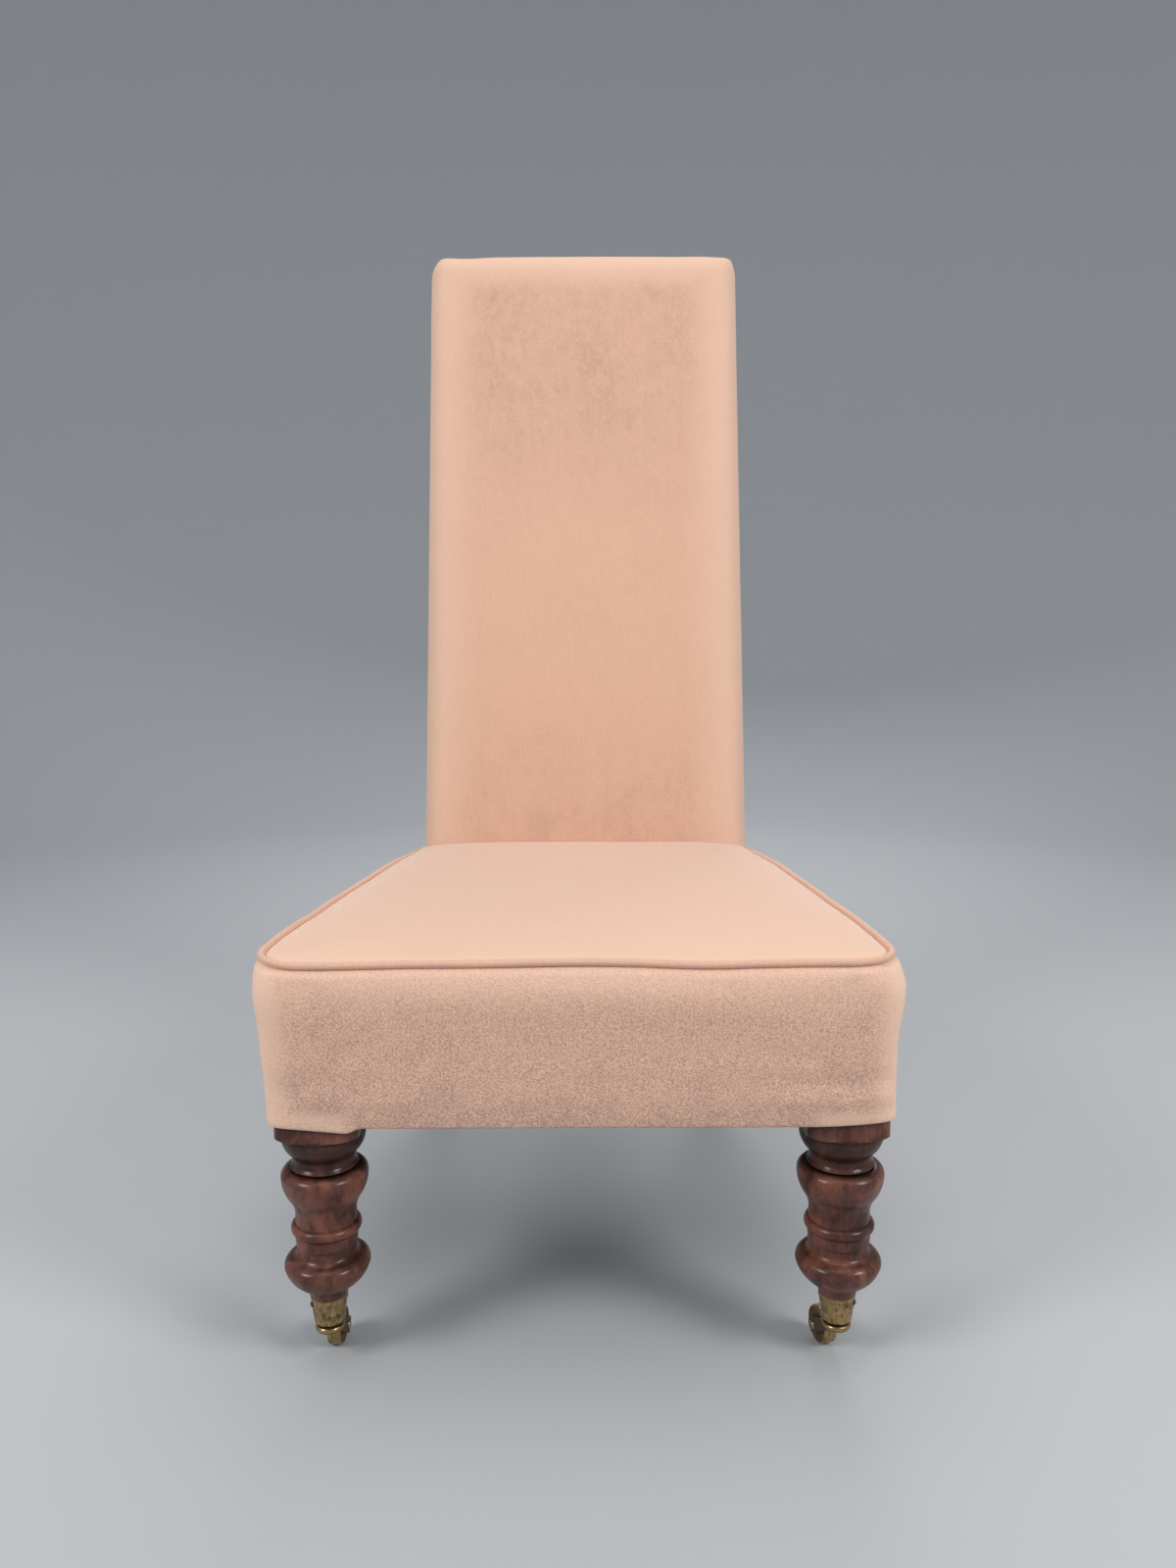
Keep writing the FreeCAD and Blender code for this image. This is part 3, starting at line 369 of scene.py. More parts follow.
def makeMetal(name, bright, tarnish, rough, roughOld, oldAmount, reach, darkest=None):
    # Darkest, where given, makes a mask of dark parts: the wheels' sides, never polished by use, and the
    # fork's arms, painted shade below the plate.
    finish = metalFinish
    material, shader, place = newMaterial(name)
    grimeAndShade = useGroup(grimeAndShadeGroup, place, {"Reach": reach, "Scale": finish["grimeScale"]})
    streak = place.mark(*finish["streak"])
    old = grimeAndShade["Blotch"] * finish["blotchShare"] + streak * finish["streakShare"]
    old = (old * oldAmount).apply("ADD", grimeAndShade["Hollow"], clamp=True)
    if darkest:
        old = old.apply("MAXIMUM", darkest(place))
    height = streak - grimeAndShade["Dent"] * finish["dent"]
    setInputs(shader, {"Base Color": old.mix(bright, tarnish), "Normal": height.bump(*finish["bump"]),
                       "Roughness": old.span(0.0, 1.0, rough, roughOld),
                       "Metallic": old.span(0.0, 1.0, 1.0, finish["oldMetal"])})
    return material


castorFinish = dict(
    tones=dict(bright=(0.49, 0.335, 0.150), tarnish=(0.080, 0.048, 0.028)),
    cup=dict(rough=0.28, roughOld=0.58, oldAmount=0.85, reach=0.006),
    wheel=dict(rough=0.30, roughOld=0.55, oldAmount=0.75, reach=0.004),
    fork=dict(rough=0.26, roughOld=0.6, oldAmount=0.55, reach=0.003),
    disc=(0.0150, 0.0140, 0.0, 0.82),  # wheel's side, dark inside its tread
    plateThick=0.0052, armFade=0.0012, armShade=0.9,  # fork's arms, painted shade below its plate
)


def makeCastorMetal(name, part, darkest=None):
    return makeMetal(name, **castorFinish["tones"], **castorFinish[part], darkest=darkest)


def makeWheelMetal(place):
    joint = next(j for j in frame["joints"] if j["name"] == place + "_roll")
    low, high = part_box("castor_wheel_" + place)
    centre, axis = (low + high) / 2, Vector(joint["axis"])

    def darkest(spot):
        apart = spot.through("VectorMath", {0: spot, 1: centre}, operation="SUBTRACT")
        across = spot.through("VectorMath", {0: apart, 1: axis}, operation="CROSS_PRODUCT")
        radius = spot.through("VectorMath", {0: across}, "Value", operation="LENGTH")
        return radius.span(*castorFinish["disc"])

    return makeCastorMetal("wheel brass " + place, "wheel", darkest)


def makeForkMetal():
    form = castorFinish
    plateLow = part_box("castor_fork_front_left")[1].z - form["plateThick"]

    # painted shade on the fork's arms below the plate
    def darkest(spot):
        return strongest(spot, [(form["armShade"], ("Z", plateLow, plateLow - form["armFade"]))])

    return makeCastorMetal("fork brass", "fork", darkest)


wovenFinish = dict(overShare=0.7, slubShare=0.3, slubSpan=(0.3, 0.7), dulled=0.1, bump=0.5, depthShare=0.3)


def makeWoven(name, warp, weft, thread, rough):
    finish = wovenFinish
    material, shader, place = newMaterial(name)
    weave = useGroup(weaveGroup, place, {"Thread": thread})
    share = weave["Over"] * finish["overShare"] + weave["Slub"] * finish["slubShare"]
    setInputs(shader, {"Base Color": share.mix(warp, weft),
                       "Roughness": weave["Slub"].span(*finish["slubSpan"], rough, rough + finish["dulled"]),
                       "Normal": weave["Over"].bump(finish["bump"], finish["depthShare"] * thread)})
    return material


mahoganyLook = dict(
    dark=(0.054, 0.019, 0.015), light=(0.205, 0.075, 0.048),
    fleck=(0.016, 0.006, 0.004), fleckAmount=0.30,
    coat=0.27, rough=0.38,
    hollowShade=(0.009, 0.004, 0.0035), reach=0.036,
)
beechLook = dict(
    dark=(0.36, 0.22, 0.12), light=(0.56, 0.38, 0.22),
    fleck=(0.26, 0.15, 0.08), fleckAmount=0.45,
    coat=0.0, rough=0.58,
    hollowShade=(0.24, 0.15, 0.09), reach=0.008,
)
legPaintedShade = [  # painted shade under the legs' square blocks
    (0.90, ("Z", 0.2023, 0.2050), ("Z", 0.2072, 0.2064)),  # painted shadow line along the block's lower edge
    (0.62, ("Z", 0.172, 0.184), ("Z", 0.2072, 0.2064)),  # painted shade in the neck below it, where the seat keeps the light off
]
castorPlaces = ("front_left", "front_right", "rear_left", "rear_right")
finishes = dict(
    # pale: painted sheen and light, strongest over the seat top, which faces the lamps
    velvetTop=makeVelvet("velvet seat top", pebble=0.28, patch=0.20, pale=0.82),
    velvetPiping=makeVelvet("velvet piping", pebble=0.36, patch=0.12, pale=0.15),
    velvetBoxing=makeVelvet("velvet boxing", pebble=0.85, patch=0.26, darkPatches=boxingPaintedShade,
                            sheenPatches=boxingPaintedSheen, level=1.15, shade=boxingShade),
    velvetBack=makeVelvet("velvet back", pebble=0.20, patch=0.08, pale=0.05, darkPatches=backWorn,
                          sheenPatches=backPaintedSheen),
    velvetOutside=makeVelvet("velvet outside back", pebble=0.20, patch=0.14),
    mahogany=makeWood("mahogany", **mahoganyLook, paintedShade=legPaintedShade),
    postWood=makeWood("mahogany post", **mahoganyLook),
    beech=makeWood("beech", **beechLook),
    brass=makeCastorMetal("aged brass", "cup"),
    forkBrass=makeForkMetal(),
    wheelBrass={place: makeWheelMetal(place) for place in castorPlaces},
    pin=makeMetal("axle pin", bright=(0.46, 0.40, 0.30), tarnish=(0.10, 0.08, 0.06),
                  rough=0.25, roughOld=0.5, oldAmount=0.4, reach=0.003),
    steel=makeMetal("dark steel", bright=(0.16, 0.14, 0.12), tarnish=(0.030, 0.024, 0.020),
                    rough=0.36, roughOld=0.66, oldAmount=0.9, reach=0.004),
    springWire=makeMetal("spring wire", bright=(0.50, 0.36, 0.24), tarnish=(0.16, 0.10, 0.06),
                         rough=0.36, roughOld=0.6, oldAmount=0.6, reach=0.004),
    bluedTack=makeMetal("blued tack", bright=(0.13, 0.14, 0.17), tarnish=(0.03, 0.03, 0.035),
                        rough=0.4, roughOld=0.62, oldAmount=0.7, reach=0.003),
    webbing=makeWoven("jute webbing", warp=(0.40, 0.29, 0.16), weft=(0.25, 0.17, 0.09),
                      thread=0.0022, rough=0.84),
    hessian=makeWoven("hessian", warp=(0.48, 0.35, 0.20), weft=(0.31, 0.21, 0.11),
                      thread=0.0014, rough=0.86),
    blackCloth=makeWoven("black bottom cloth", warp=(0.030, 0.030, 0.033), weft=(0.014, 0.014, 0.016),
                         thread=0.0007, rough=0.82),
    thread=makeWoven("sewing thread", warp=(0.72, 0.47, 0.35), weft=(0.52, 0.33, 0.24),
                     thread=0.0004, rough=0.7),
)
print("finishes built:", len(finishes))


# Carried-over hard pieces keep their CAD shape and get a finish

finishOf = dict(
    castor_cup="brass", castor_fork="forkBrass", castor_wheel="wheelBrass", castor_pintle="steel",
    castor_axle="pin", castor_screws="steel", front_leg="mahogany", back_post="postWood",
    bottom_tacks="bluedTack", seat_springs="springWire", seat_webbing="webbing", back_webbing="webbing",
    seat_canvas="hessian", back_canvas="hessian", front_rail="beech", side_rail="beech", back_rail="beech",
    stay_rail="beech", top_rail="beech", glue_blocks="beech", frame_dowels="beech",
)


def finishCadPieces():
    for name, node in frame["nodes"].items():
        for start, finish in finishOf.items():
            if name.startswith(start):
                found = finishes[finish]
                for slot in node.material_slots:
                    slot.material = found[name[len(start) + 1:]] if isinstance(found, dict) else found


finishCadPieces()
print("hard pieces finished")


# Shared shape of the chair, in metres

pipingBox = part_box("seat_piping")
chairForm = dict(
    seatHeight=(pipingBox[0][2] + pipingBox[1][2]) / 2,  # centre of the piping
    frontY=-0.32824, frontHalf=0.25325,  # piping's centre line along the front
    corner=0.039,
    rearY=0.2218, rearHalf=0.2005,
    sideLead=1.17,  # degrees
    backY=0.14651,  # front of the back where it meets the seat's height
    rake=9.0,  # degrees
    frontSteps=2, cornerSteps=4, sideSteps=8,  # fewest in the seat's outline
)
rakeTurn = radians(chairForm["rake"])
rakeSin, rakeCos = sin(rakeTurn), cos(rakeTurn)
rearward, upward = Vector((0, rakeCos, -rakeSin)), Vector((0, 0, 1))


def backToRow(x, depth, length):
    y = chairForm["backY"] + depth * rakeCos + length * rakeSin
    z = chairForm["seatHeight"] - depth * rakeSin + length * rakeCos
    return Vector((x, y, z))


def rowToBack(point):
    y, z = point.y - chairForm["backY"], point.z - chairForm["seatHeight"]
    return point.x, y * rakeCos - z * rakeSin, y * rakeSin + z * rakeCos


def linear(value, low, high):
    return min(1.0, max(0.0, (value - low) / (high - low)))


def smooth(value, low, high):
    share = linear(value, low, high)
    return share * share * (3 - 2 * share)


def between(low, high, share):
    return low + (high - low) * share


def spaced(low, high, count):
    return [low + (high - low) * k / count for k in range(count + 1)]


def onLine(stops, value):
    for (a, low), (b, high) in zip(stops, stops[1:]):
        if value <= b:
            return between(low, high, linear(value, a, b))
    return stops[-1][1]


def bell(distance, width):
    return exp(-(distance / width) ** 2)


def waves(x, rows):
    # Each row is a middle, a height and a width.
    return sum(high * bell(x - middle, wide) for middle, high, wide in rows)


def lump(point, size, seed):
    return noise.noise(point / size + Vector((seed, 2.0 * seed, 3.0 * seed)))


def lumps(point, coarse, fine, fineShare):
    return lump(point, *coarse) + fineShare * lump(point, *fine)


def meshPiece(name, points, faces, material):
    mesh = bpy.data.meshes.new(name)
    mesh.from_pydata([tuple(p) for p in points], [], faces)
    mesh.validate()
    mesh.polygons.foreach_set("use_smooth", [True] * len(mesh.polygons))
    mesh.materials.append(material)
    piece = bpy.data.objects.new(name, mesh)
    scene.collection.objects.link(piece)
    return piece


def chairPiece(name, points, faces, finish):
    piece = meshPiece(name, points, faces, finishes[finish])
    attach(piece, "chair")
    return piece


def gridFaces(rows, columns, closed=False, start=0):
    faces = []
    for r in range(rows - 1):
        for c in range(columns if closed else columns - 1):
            a, b = start + r * columns + c, start + r * columns + (c + 1) % columns
            faces.append((a, b, b + columns, a + columns))
    return faces


def flipped(faces):
    return [tuple(reversed(face)) for face in faces]


def ring(middle, first, second, radius, sides):
    turns = spaced(0, 2 * pi, sides)[:-1]
    return [middle + (first * cos(turn) + second * sin(turn)) * radius for turn in turns]


def arcPoints(middle, radius, start, end, count):
    # Points of an arc in plan, each with its outward direction.
    outs = [Vector((cos(turn), sin(turn))) for turn in spaced(start, end, count)]
    return [(middle + out * radius, out) for out in outs]


def seatLine(inset, step):
    # Plan of the piping from the left rear to the right rear, with the outward direction at each point.
    form = chairForm
    lead, corner = radians(form["sideLead"]), form["corner"] - inset
    half, front = form["frontHalf"] - inset, form["frontY"] + inset
    leave = Vector((half - corner + corner * cos(lead), front + corner + corner * sin(lead)))
    end = Vector((form["rearHalf"] - inset, form["rearY"]))
    inward = Vector((-cos(lead), -sin(lead)))
    span = end - leave
    radius = span.dot(span) / (2 * span.dot(inward))
    sweep = 2 * asin(span.length / (2 * radius))
    count = max(form["frontSteps"], round((half - corner) / step))
    right = [(Vector((x, front)), Vector((0, -1))) for x in spaced(0, half - corner, count)[:-1]]
    count = max(form["cornerSteps"], round(corner * (pi / 2 + lead) / step))
    right += arcPoints(Vector((half - corner, front + corner)), corner, -pi / 2, lead, count)[:-1]
    count = max(form["sideSteps"], round(span.length / step))
    right += arcPoints(leave + inward * radius, radius, lead, lead + sweep, count)
    left = [(Vector((-p.x, p.y)), Vector((-n.x, n.y))) for p, n in reversed(right[1:])]
    return left + right


seatSettle = dict(
    drop=[(-0.20, 0.0), (0.007, 0.0052), (0.076, 0.0050), (0.14, 0.0068), (0.23, 0.0085)],  # by depth in Y
    left=[(-0.33, -0.0068), (-0.25, -0.0062), (-0.17, -0.0005), (0.0, 0.0)],  # shift along X
    right=[(-0.33, -0.0010), (-0.25, -0.0022), (-0.12, -0.0050), (0.02, -0.0015), (0.2, 0.0)],
    sides=(0.10, 0.20),  # where the shift begins and is full
    frontWave=[(-0.204, -0.0016, 0.05), (0.015, 0.0010, 0.06), (0.100, -0.0018, 0.045)],
    frontReach=0.05,
    heights=(-0.1335, -0.02),  # from the piping's height, where the settling is none and full
    fall=0.024, seam=0.002,  # how far in from the piping the seat still drops with it
)


def settle(point):
    # Where the worn seat lies from its drawn shape: full at the piping, nothing at the hem.
    form, plan = seatSettle, chairForm
    front, across = plan["frontY"], abs(point.x)
    share = linear(point.z - plan["seatHeight"], *form["heights"])
    shift = onLine(form["left" if point.x < 0 else "right"], point.y) * smooth(across, *form["sides"])
    rear = linear(point.y, front + plan["corner"], plan["rearY"])
    reach = between(plan["frontHalf"], plan["rearHalf"], rear)
    drop = onLine(form["drop"], point.y) * smooth(across, reach - form["fall"], reach - form["seam"])
    near = 1 - smooth(point.y, front, front + form["frontReach"])
    return point + Vector((shift * share, 0, (waves(point.x, form["frontWave"]) * near - drop) * share))


clothSettings = dict(frames=20, stiffness=40, airDamping=4)


def swell(piece, pinned, form):
    # Cloth held along its sewn and tacked edges, blown out by the stuffing, no point further than the cap.
    start = [v.co.copy() for v in piece.data.vertices]
    pins = piece.vertex_groups.new(name="held")
    pins.add(pinned, 1.0, "REPLACE")
    cloth = piece.modifiers.new("swell", "CLOTH")
    settings = cloth.settings
    settings.vertex_group_mass = "held"
    settings.use_pressure = True
    settings.uniform_pressure_force = form["pressure"]
    settings.effector_weights.gravity = 0
    settings.tension_stiffness = settings.compression_stiffness = clothSettings["stiffness"]
    settings.air_damping = clothSettings["airDamping"]
    for number in range(1, clothSettings["frames"] + 1):
        scene.frame_set(number)
    found = piece.evaluated_get(bpy.context.evaluated_depsgraph_get()).to_mesh()
    ends = [v.co.copy() for v in found.vertices]
    piece.modifiers.remove(cloth)
    piece.vertex_groups.remove(pins)
    most = 0.0
    for vertex, a, b in zip(piece.data.vertices, start, ends):
        move = b - a
        most = max(most, move.length)
        vertex.co = a + move * min(1.0, form["cap"] / max(move.length, 1e-9))
    piece.data.update()
    scene.frame_set(1)
    print(" ", piece.name, "swelled by up to", round(most * 1000, 1), "mm")


def refine(piece):
    soft = piece.modifiers.new("soften", "SUBSURF")
    soft.levels = soft.render_levels = 1


# Back cover: one cloth over the front, both sides and the top, tacked behind

backCover = dict(
    low=-0.050,  # hidden in the seat
    length=0.7300,
    leftEase=-0.0015, rightEase=0.0035,  # the stuffing sits a little to the right
    halfLow=0.1945, halfTop=0.1875,
    thick=0.0722, rearGap=0.0006,
    start=0.0024,  # how far the front lies in before the stuffing swells it
    corner=0.026, cornerShare=0.45, cornerLeast=0.001,  # at most a share of the depth
    crown=0.004, crownPower=3,  # flat across, rounded near the corners
    topRound=0.020, topDraw=0.016, topDepth=0.92,  # share of the depth that the top's rows cover
    leftNip=0.0082, rightNip=0.0046, nipPower=1.8,  # how far the folded top corners are drawn in
    ledge=0.93,  # share of the nip on the top itself, so that the fold's edge stands out
    topCrown=0.0015,
    topWaves=[(-0.165, 0.0007, 0.010), (-0.136, -0.0011, 0.016), (0.146, 0.0008, 0.022)], waveReach=0.05,
    turnIn=0.014, topTurnIn=0.003,  # return on the rear face
    turnInStart=0.15, turnInLoss=0.78,  # shares that round the edge and that the top's round takes
    apart=0.0005,  # keeps two points from falling in one place
    rearDrops=(0.003, 0.016), rearEnd=1.5,
    rowStep=0.0085, roundRows=8, topRows=7,
    columns=(7, 7, 46),  # side, corner, front
    heldSide=10, heldTop=15, heldRear=3, freeRound=3,  # columns and rows that are tacked, or free below them
    unevenness=0.0008, lumps=((0.09, 3.1), (0.04, 7.7), 0.5), sideLumps=0.6, frontDepth=0.05,
    pressure=0.19, cap=0.004,
)


def backHalf(length):
    return between(backCover["halfLow"], backCover["halfTop"], length / backCover["length"])


def backSection(length, draw, nip, turnIn):
    # One row across the back: return on the rear, left side, corner, front, corner, right side, return.
    form = backCover
    sides, corners, fronts = form["columns"]
    thick, room = form["thick"], form["thick"] - draw
    near, behind = draw + form["start"] * room / thick, thick + form["rearGap"]
    corner = min(form["corner"] - min(draw, form["topDraw"]), form["cornerShare"] * room)
    corner = max(form["cornerLeast"], corner)
    crown = form["crown"] * room / thick
    edge = near + crown + corner
    runs, flats = [], []
    for side in ("left", "right"):
        half = backHalf(length) + form[side + "Ease"] - form[side + "Nip"] * nip
        run = [(half - turnIn, behind), (half - form["turnInStart"] * turnIn, behind)]
        run += [(half, depth) for depth in spaced(thick, edge, sides)[:-1]]
        for turn in spaced(0, pi / 2, corners)[:-1]:
            run.append((half - corner * (1 - cos(turn)), edge - corner * sin(turn)))
        runs.append(run)
        flats.append(half - corner)
    front = []
    for share in spaced(0, 1, fronts):
        bow = crown * abs(2 * share - 1) ** form["crownPower"]
        front.append((between(-flats[0], flats[1], share), near + bow))
    row = [(-x, n) for x, n in runs[0]] + front + list(reversed(runs[1]))
    return [(x, n, length) for x, n in row]


def backRows():
    form = backCover
    springLine = form["length"] - form["topRound"]
    count = round((springLine - form["low"]) / form["rowStep"])
    rows = [backSection(s, 0.0, 0.0, form["turnIn"]) for s in spaced(form["low"], springLine, count)[:-1]]
    for turn in spaced(0, pi / 2, form["roundRows"]):
        high, draw = springLine + form["topRound"] * sin(turn), form["topDraw"] * (1 - cos(turn))
        turnIn = form["turnIn"] * (1 - form["turnInLoss"] * sin(turn))
        rows.append(backSection(high, draw, sin(turn) ** form["nipPower"], turnIn))
    for k in range(1, form["topRows"] + 1):
        share = k / form["topRows"]
        top = form["length"] + form["topCrown"] * sin(pi * share)
        draw = between(form["topDraw"], form["thick"], share * form["topDepth"])
        row = backSection(top, draw, form["ledge"], form["topTurnIn"])
        for c in (0, 1, 2, -3, -2, -1):  # both returns and their edges
            row[c] = (row[c][0], row[c][1] - form["apart"] * (form["topRows"] - k), top)
        rows.append(row)
    columns, fold = len(rows[0]), form["turnIn"]
    left, right = rows[-1][0][0], rows[-1][-1][0]
    ends = next(k for k in range(columns) if rows[0][k][0] > left + form["corner"] * form["rearEnd"])
    spread = []  # across the rear, closer at the ends
    for k in range(columns):
        share = min(k, columns - 1 - k) / ends
        if share < 1:
            spread.append(left + fold * share if k < ends else right - fold * share)
        else:
            spread.append(between(left + fold, right - fold, (k - ends) / (columns - 1 - 2 * ends)))
    for drop in form["rearDrops"]:  # over the top and down behind
        rows.append([(x, form["thick"] + form["rearGap"], form["length"] - drop) for x in spread])
    return rows, count


def makeBackCover():
    form = backCover
    rows, straightRows = backRows()
    columns = len(rows[0])
    points, held = [], []
    for r, row in enumerate(rows):
        for c, (x, n, s) in enumerate(row):
            rise = waves(x, form["topWaves"]) * smooth(s, form["length"] - form["waveReach"], form["length"])
            point = backToRow(x, n, s + rise)
            uneven = form["unevenness"] * lumps(point, *form["lumps"])
            forward = -uneven if n < form["frontDepth"] else 0.0
            points.append(point + Vector((copysign(uneven, x) * form["sideLumps"], forward, 0)))
            side = min(c, columns - 1 - c)
            top = r > straightRows + form["freeRound"] and side < form["heldTop"]
            if r == 0 or r >= len(rows) - form["heldRear"] or side < form["heldSide"] or top:
                held.append(r * columns + c)
    piece = chairPiece("backCover", points, gridFaces(len(rows), columns), "velvetBack")
    swell(piece, held, form)
    refine(piece)
    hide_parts("back_cover", "back_stuffing")
    return piece


backPiece = makeBackCover()
print("back cover made:", len(backPiece.data.vertices), "points")


# Outside back: a flat panel with turned-in edges, sewn to the cover's edges

outsideBack = dict(
    low=-0.118, topInset=0.007, sideInset=0.0035,
    cornerInset=0.009, cornerRound=0.025,
    face=0.0748,  # depth of the panel's face
    edgeDrop=0.0022, edgeRound=0.006,
    rows=92, columns=46,
    unevenness=0.0005, lump=(0.08, 5.3),
)
outsideTop = backCover["length"] - outsideBack["topInset"]


def outsideHalf(length):
    form = outsideBack
    drawn = form["cornerInset"] * smooth(length, outsideTop - form["cornerRound"], outsideTop)
    return backHalf(length) - form["sideInset"] - drawn


def makeOutsideBack():
    form = outsideBack
    rows, columns = form["rows"], form["columns"]
    points = []
    for s in spaced(form["low"], outsideTop, rows - 1):
        half = outsideHalf(s)
        for share in spaced(-1, 1, columns - 1):
            x = half * sin(pi / 2 * share)  # closer together at the edges
            edge = min(half - abs(x), outsideTop - s)
            fall = form["edgeDrop"] * max(0.0, 1 - edge / form["edgeRound"]) ** 2
            point = backToRow(x, form["face"] - fall, s)
            points.append(point + Vector((0, form["unevenness"] * lump(point, *form["lump"]), 0)))
    piece = chairPiece("outsideBack", points, flipped(gridFaces(rows, columns)), "velvetOutside")
    refine(piece)
    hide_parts("outside_back")


makeOutsideBack()
print("outside back made")


# Stitches that close the outside back along both sides and the top

backStitches = dict(
    step=0.0105, lowest=0.02,  # above the panel's lower edge
    across=0.0034, slant=0.0022, radius=0.00035,
    depth=0.0733, lift=0.0005,
    rings=4, sides=6,
)


def makeBackStitches():
    form = backStitches
    low, high = outsideBack["low"] + form["lowest"], outsideTop
    count = round((high - low) / form["step"])
    marks = []
    for side in (-1, 1):
        for k in range(count):
            s = between(low, high, (k + 0.5) / count)
            marks.append((side * outsideHalf(s), s, (side, 0.0)))
    half = outsideHalf(high)
    count = round(2 * half / form["step"])
    marks += [(half * (2 * (k + 0.5) / count - 1), high, (0.0, 1.0)) for k in range(count)]
    reach, lean = form["across"] / 2, form["slant"] / 2
    points, faces = [], []
    for x, s, (outX, outS) in marks:
        moveX, moveS = outX * reach + outS * lean, outS * reach + outX * lean
        start, end = (backToRow(x + way * moveX, form["depth"], s + way * moveS) for way in (-1, 1))
        aside = (end - start).normalized().cross(rearward)
        faces += gridFaces(form["rings"] + 1, form["sides"], closed=True, start=len(points))
        for share in spaced(0, 1, form["rings"]):
            middle = start.lerp(end, share) + rearward * (form["lift"] * sin(pi * share))
            points += ring(middle, aside, rearward, form["radius"], form["sides"])
    piece = chairPiece("backStitches", points, faces, "thread")


makeBackStitches()
print("stitches made")


# Seat top: a crowned panel inside the piping, tucked down round the back

seatTop = dict(
    inset=0.0022,  # sewn edge inside the piping's centre line
    step=0.004, away=(-9, -9),  # a point far off the left corner
    seamDrop=0.0012,
    seamRise=0.0042, seamWidth=0.007, seamPower=2.2,  # the cloth stands above the seam just inside it
    crown=0.0105, crownPower=5,  # flat across, rounded near the sides
    crownReach=0.65,  # share of the depth over which the crown rises
    tuck=0.010, tuckWidth=0.004, tuckStart=0.001, tuckSides=(-0.012, 0.001),
    cut=-0.004,  # the cloth ends this far inside the back
    across=64, along=70,
    unevenness=0.0009, evenEdge=0.03, lumps=((0.12, 1.7), (0.05, 4.2), 0.5),
    pressure=0.19, cap=0.004,
)


def backGap(point):
    # Distance in plan from the padded back's surface, negative inside it.
    x, n, s = rowToBack(point)
    corner, middle = backCover["corner"], backCover["thick"] / 2
    if n > middle:  # square at the rear
        return abs(x) - backHalf(s)
    dx = abs(x) - (backHalf(s) - corner)
    dn = abs(n - middle) - (middle - corner)
    return hypot(max(dx, 0.0), max(dn, 0.0)) + min(max(dx, dn), 0.0) - corner


def along(points, share):
    # Point at a share of the length of a list of points.
    lengths = [0.0]
    for a, b in zip(points, points[1:]):
        lengths.append(lengths[-1] + (b - a).length)
    want = share * lengths[-1]
    for k in range(1, len(points)):
        if lengths[k] >= want:
            step = (want - lengths[k - 1]) / max(lengths[k] - lengths[k - 1], 1e-9)
            return points[k - 1].lerp(points[k], step)
    return points[-1]


def seatTopPoint(plan, front, left, right):
    # Height over a point of the plan, from the edges' points in line with it.
    form = seatTop
    edge = min((plan - point).length for point in (front, left, right))
    half = max(1e-6, (right - left).length / 2)
    depth = chairForm["backY"] - chairForm["frontY"]
    rise = linear(plan.y - chairForm["frontY"], 0.0, form["crownReach"] * depth)
    crown = form["crown"] * (1 - (1 - rise) ** 2) * max(0.0, 1 - abs(plan.x / half) ** form["crownPower"])
    seam = form["seamRise"] * (1 - exp(-edge / form["seamWidth"] * form["seamPower"])) - form["seamDrop"]
    point = Vector((plan.x, plan.y, chairForm["seatHeight"] + crown + seam))
    point.z += form["unevenness"] * smooth(edge, 0.0, form["evenEdge"]) * lumps(point, *form["lumps"])
    return point


def tucked(point):
    # Pushed down in front of the back, but not beside it.
    form = seatTop
    x, n, s = rowToBack(point)
    front = 1 - smooth(abs(x), *(backHalf(s) + part for part in form["tuckSides"]))
    gap = max(0.0, backGap(point) + form["tuckStart"])
    point.z -= form["tuck"] * front * exp(-gap / form["tuckWidth"])
    return settle(point)


def makeSeatTop():
    form = seatTop
    line, away = [p for p, n in seatLine(form["inset"], form["step"])], Vector(form["away"])
    turnAt = min(range(len(line)), key=lambda k: (line[k] - away).length)  # middle of the left corner
    left, front = list(reversed(line[:turnAt + 1])), line[turnAt:len(line) - turnAt]
    right = line[len(line) - turnAt - 1:]
    wide, deep = form["across"], form["along"]
    leftEdge, rightEdge = [[along(side, share) for share in spaced(0, 1, deep)] for side in (left, right)]
    frontEdge = [along(front, share) for share in spaced(0, 1, wide)]
    rearEdge = [left[-1].lerp(right[-1], share) for share in spaced(0, 1, wide)]
    made = []
    for v, b in enumerate(spaced(0, 1, deep)):
        for u, a in enumerate(spaced(0, 1, wide)):
            plan = frontEdge[u] * (1 - b) + rearEdge[u] * b + leftEdge[v] * (1 - a) + rightEdge[v] * a
            plan -= frontEdge[0] * (1 - a) * (1 - b) + frontEdge[-1] * a * (1 - b)
            plan -= rearEdge[0] * (1 - a) * b + rearEdge[-1] * a * b
            made.append(seatTopPoint(plan, frontEdge[u], leftEdge[v], rightEdge[v]))
    faces = []
    for face in gridFaces(deep + 1, wide + 1):
        if backGap(sum((made[k] for k in face), Vector()) / 4) > form["cut"]:
            faces.append(face)
    used = sorted({k for face in faces for k in face})
    place = {k: n for n, k in enumerate(used)}
    faces = [tuple(place[k] for k in face) for face in faces]
    piece = chairPiece("seatTop", [tucked(made[k]) for k in used], faces, "velvetTop")
    uses = {}
    for face in faces:
        for edge in zip(face, face[1:] + face[:1]):
            uses[frozenset(edge)] = uses.get(frozenset(edge), 0) + 1
    held = sorted({k for edge, count in uses.items() if count == 1 for k in edge})
    swell(piece, held, form)
    refine(piece)
    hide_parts("seat_top_cover", "seat_stuffing")
    return piece


topPiece = makeSeatTop()
print("seat top made:", len(topPiece.data.vertices), "points")


# Seat boxing: the strip round the front and sides, from under the piping to a turned-under hem

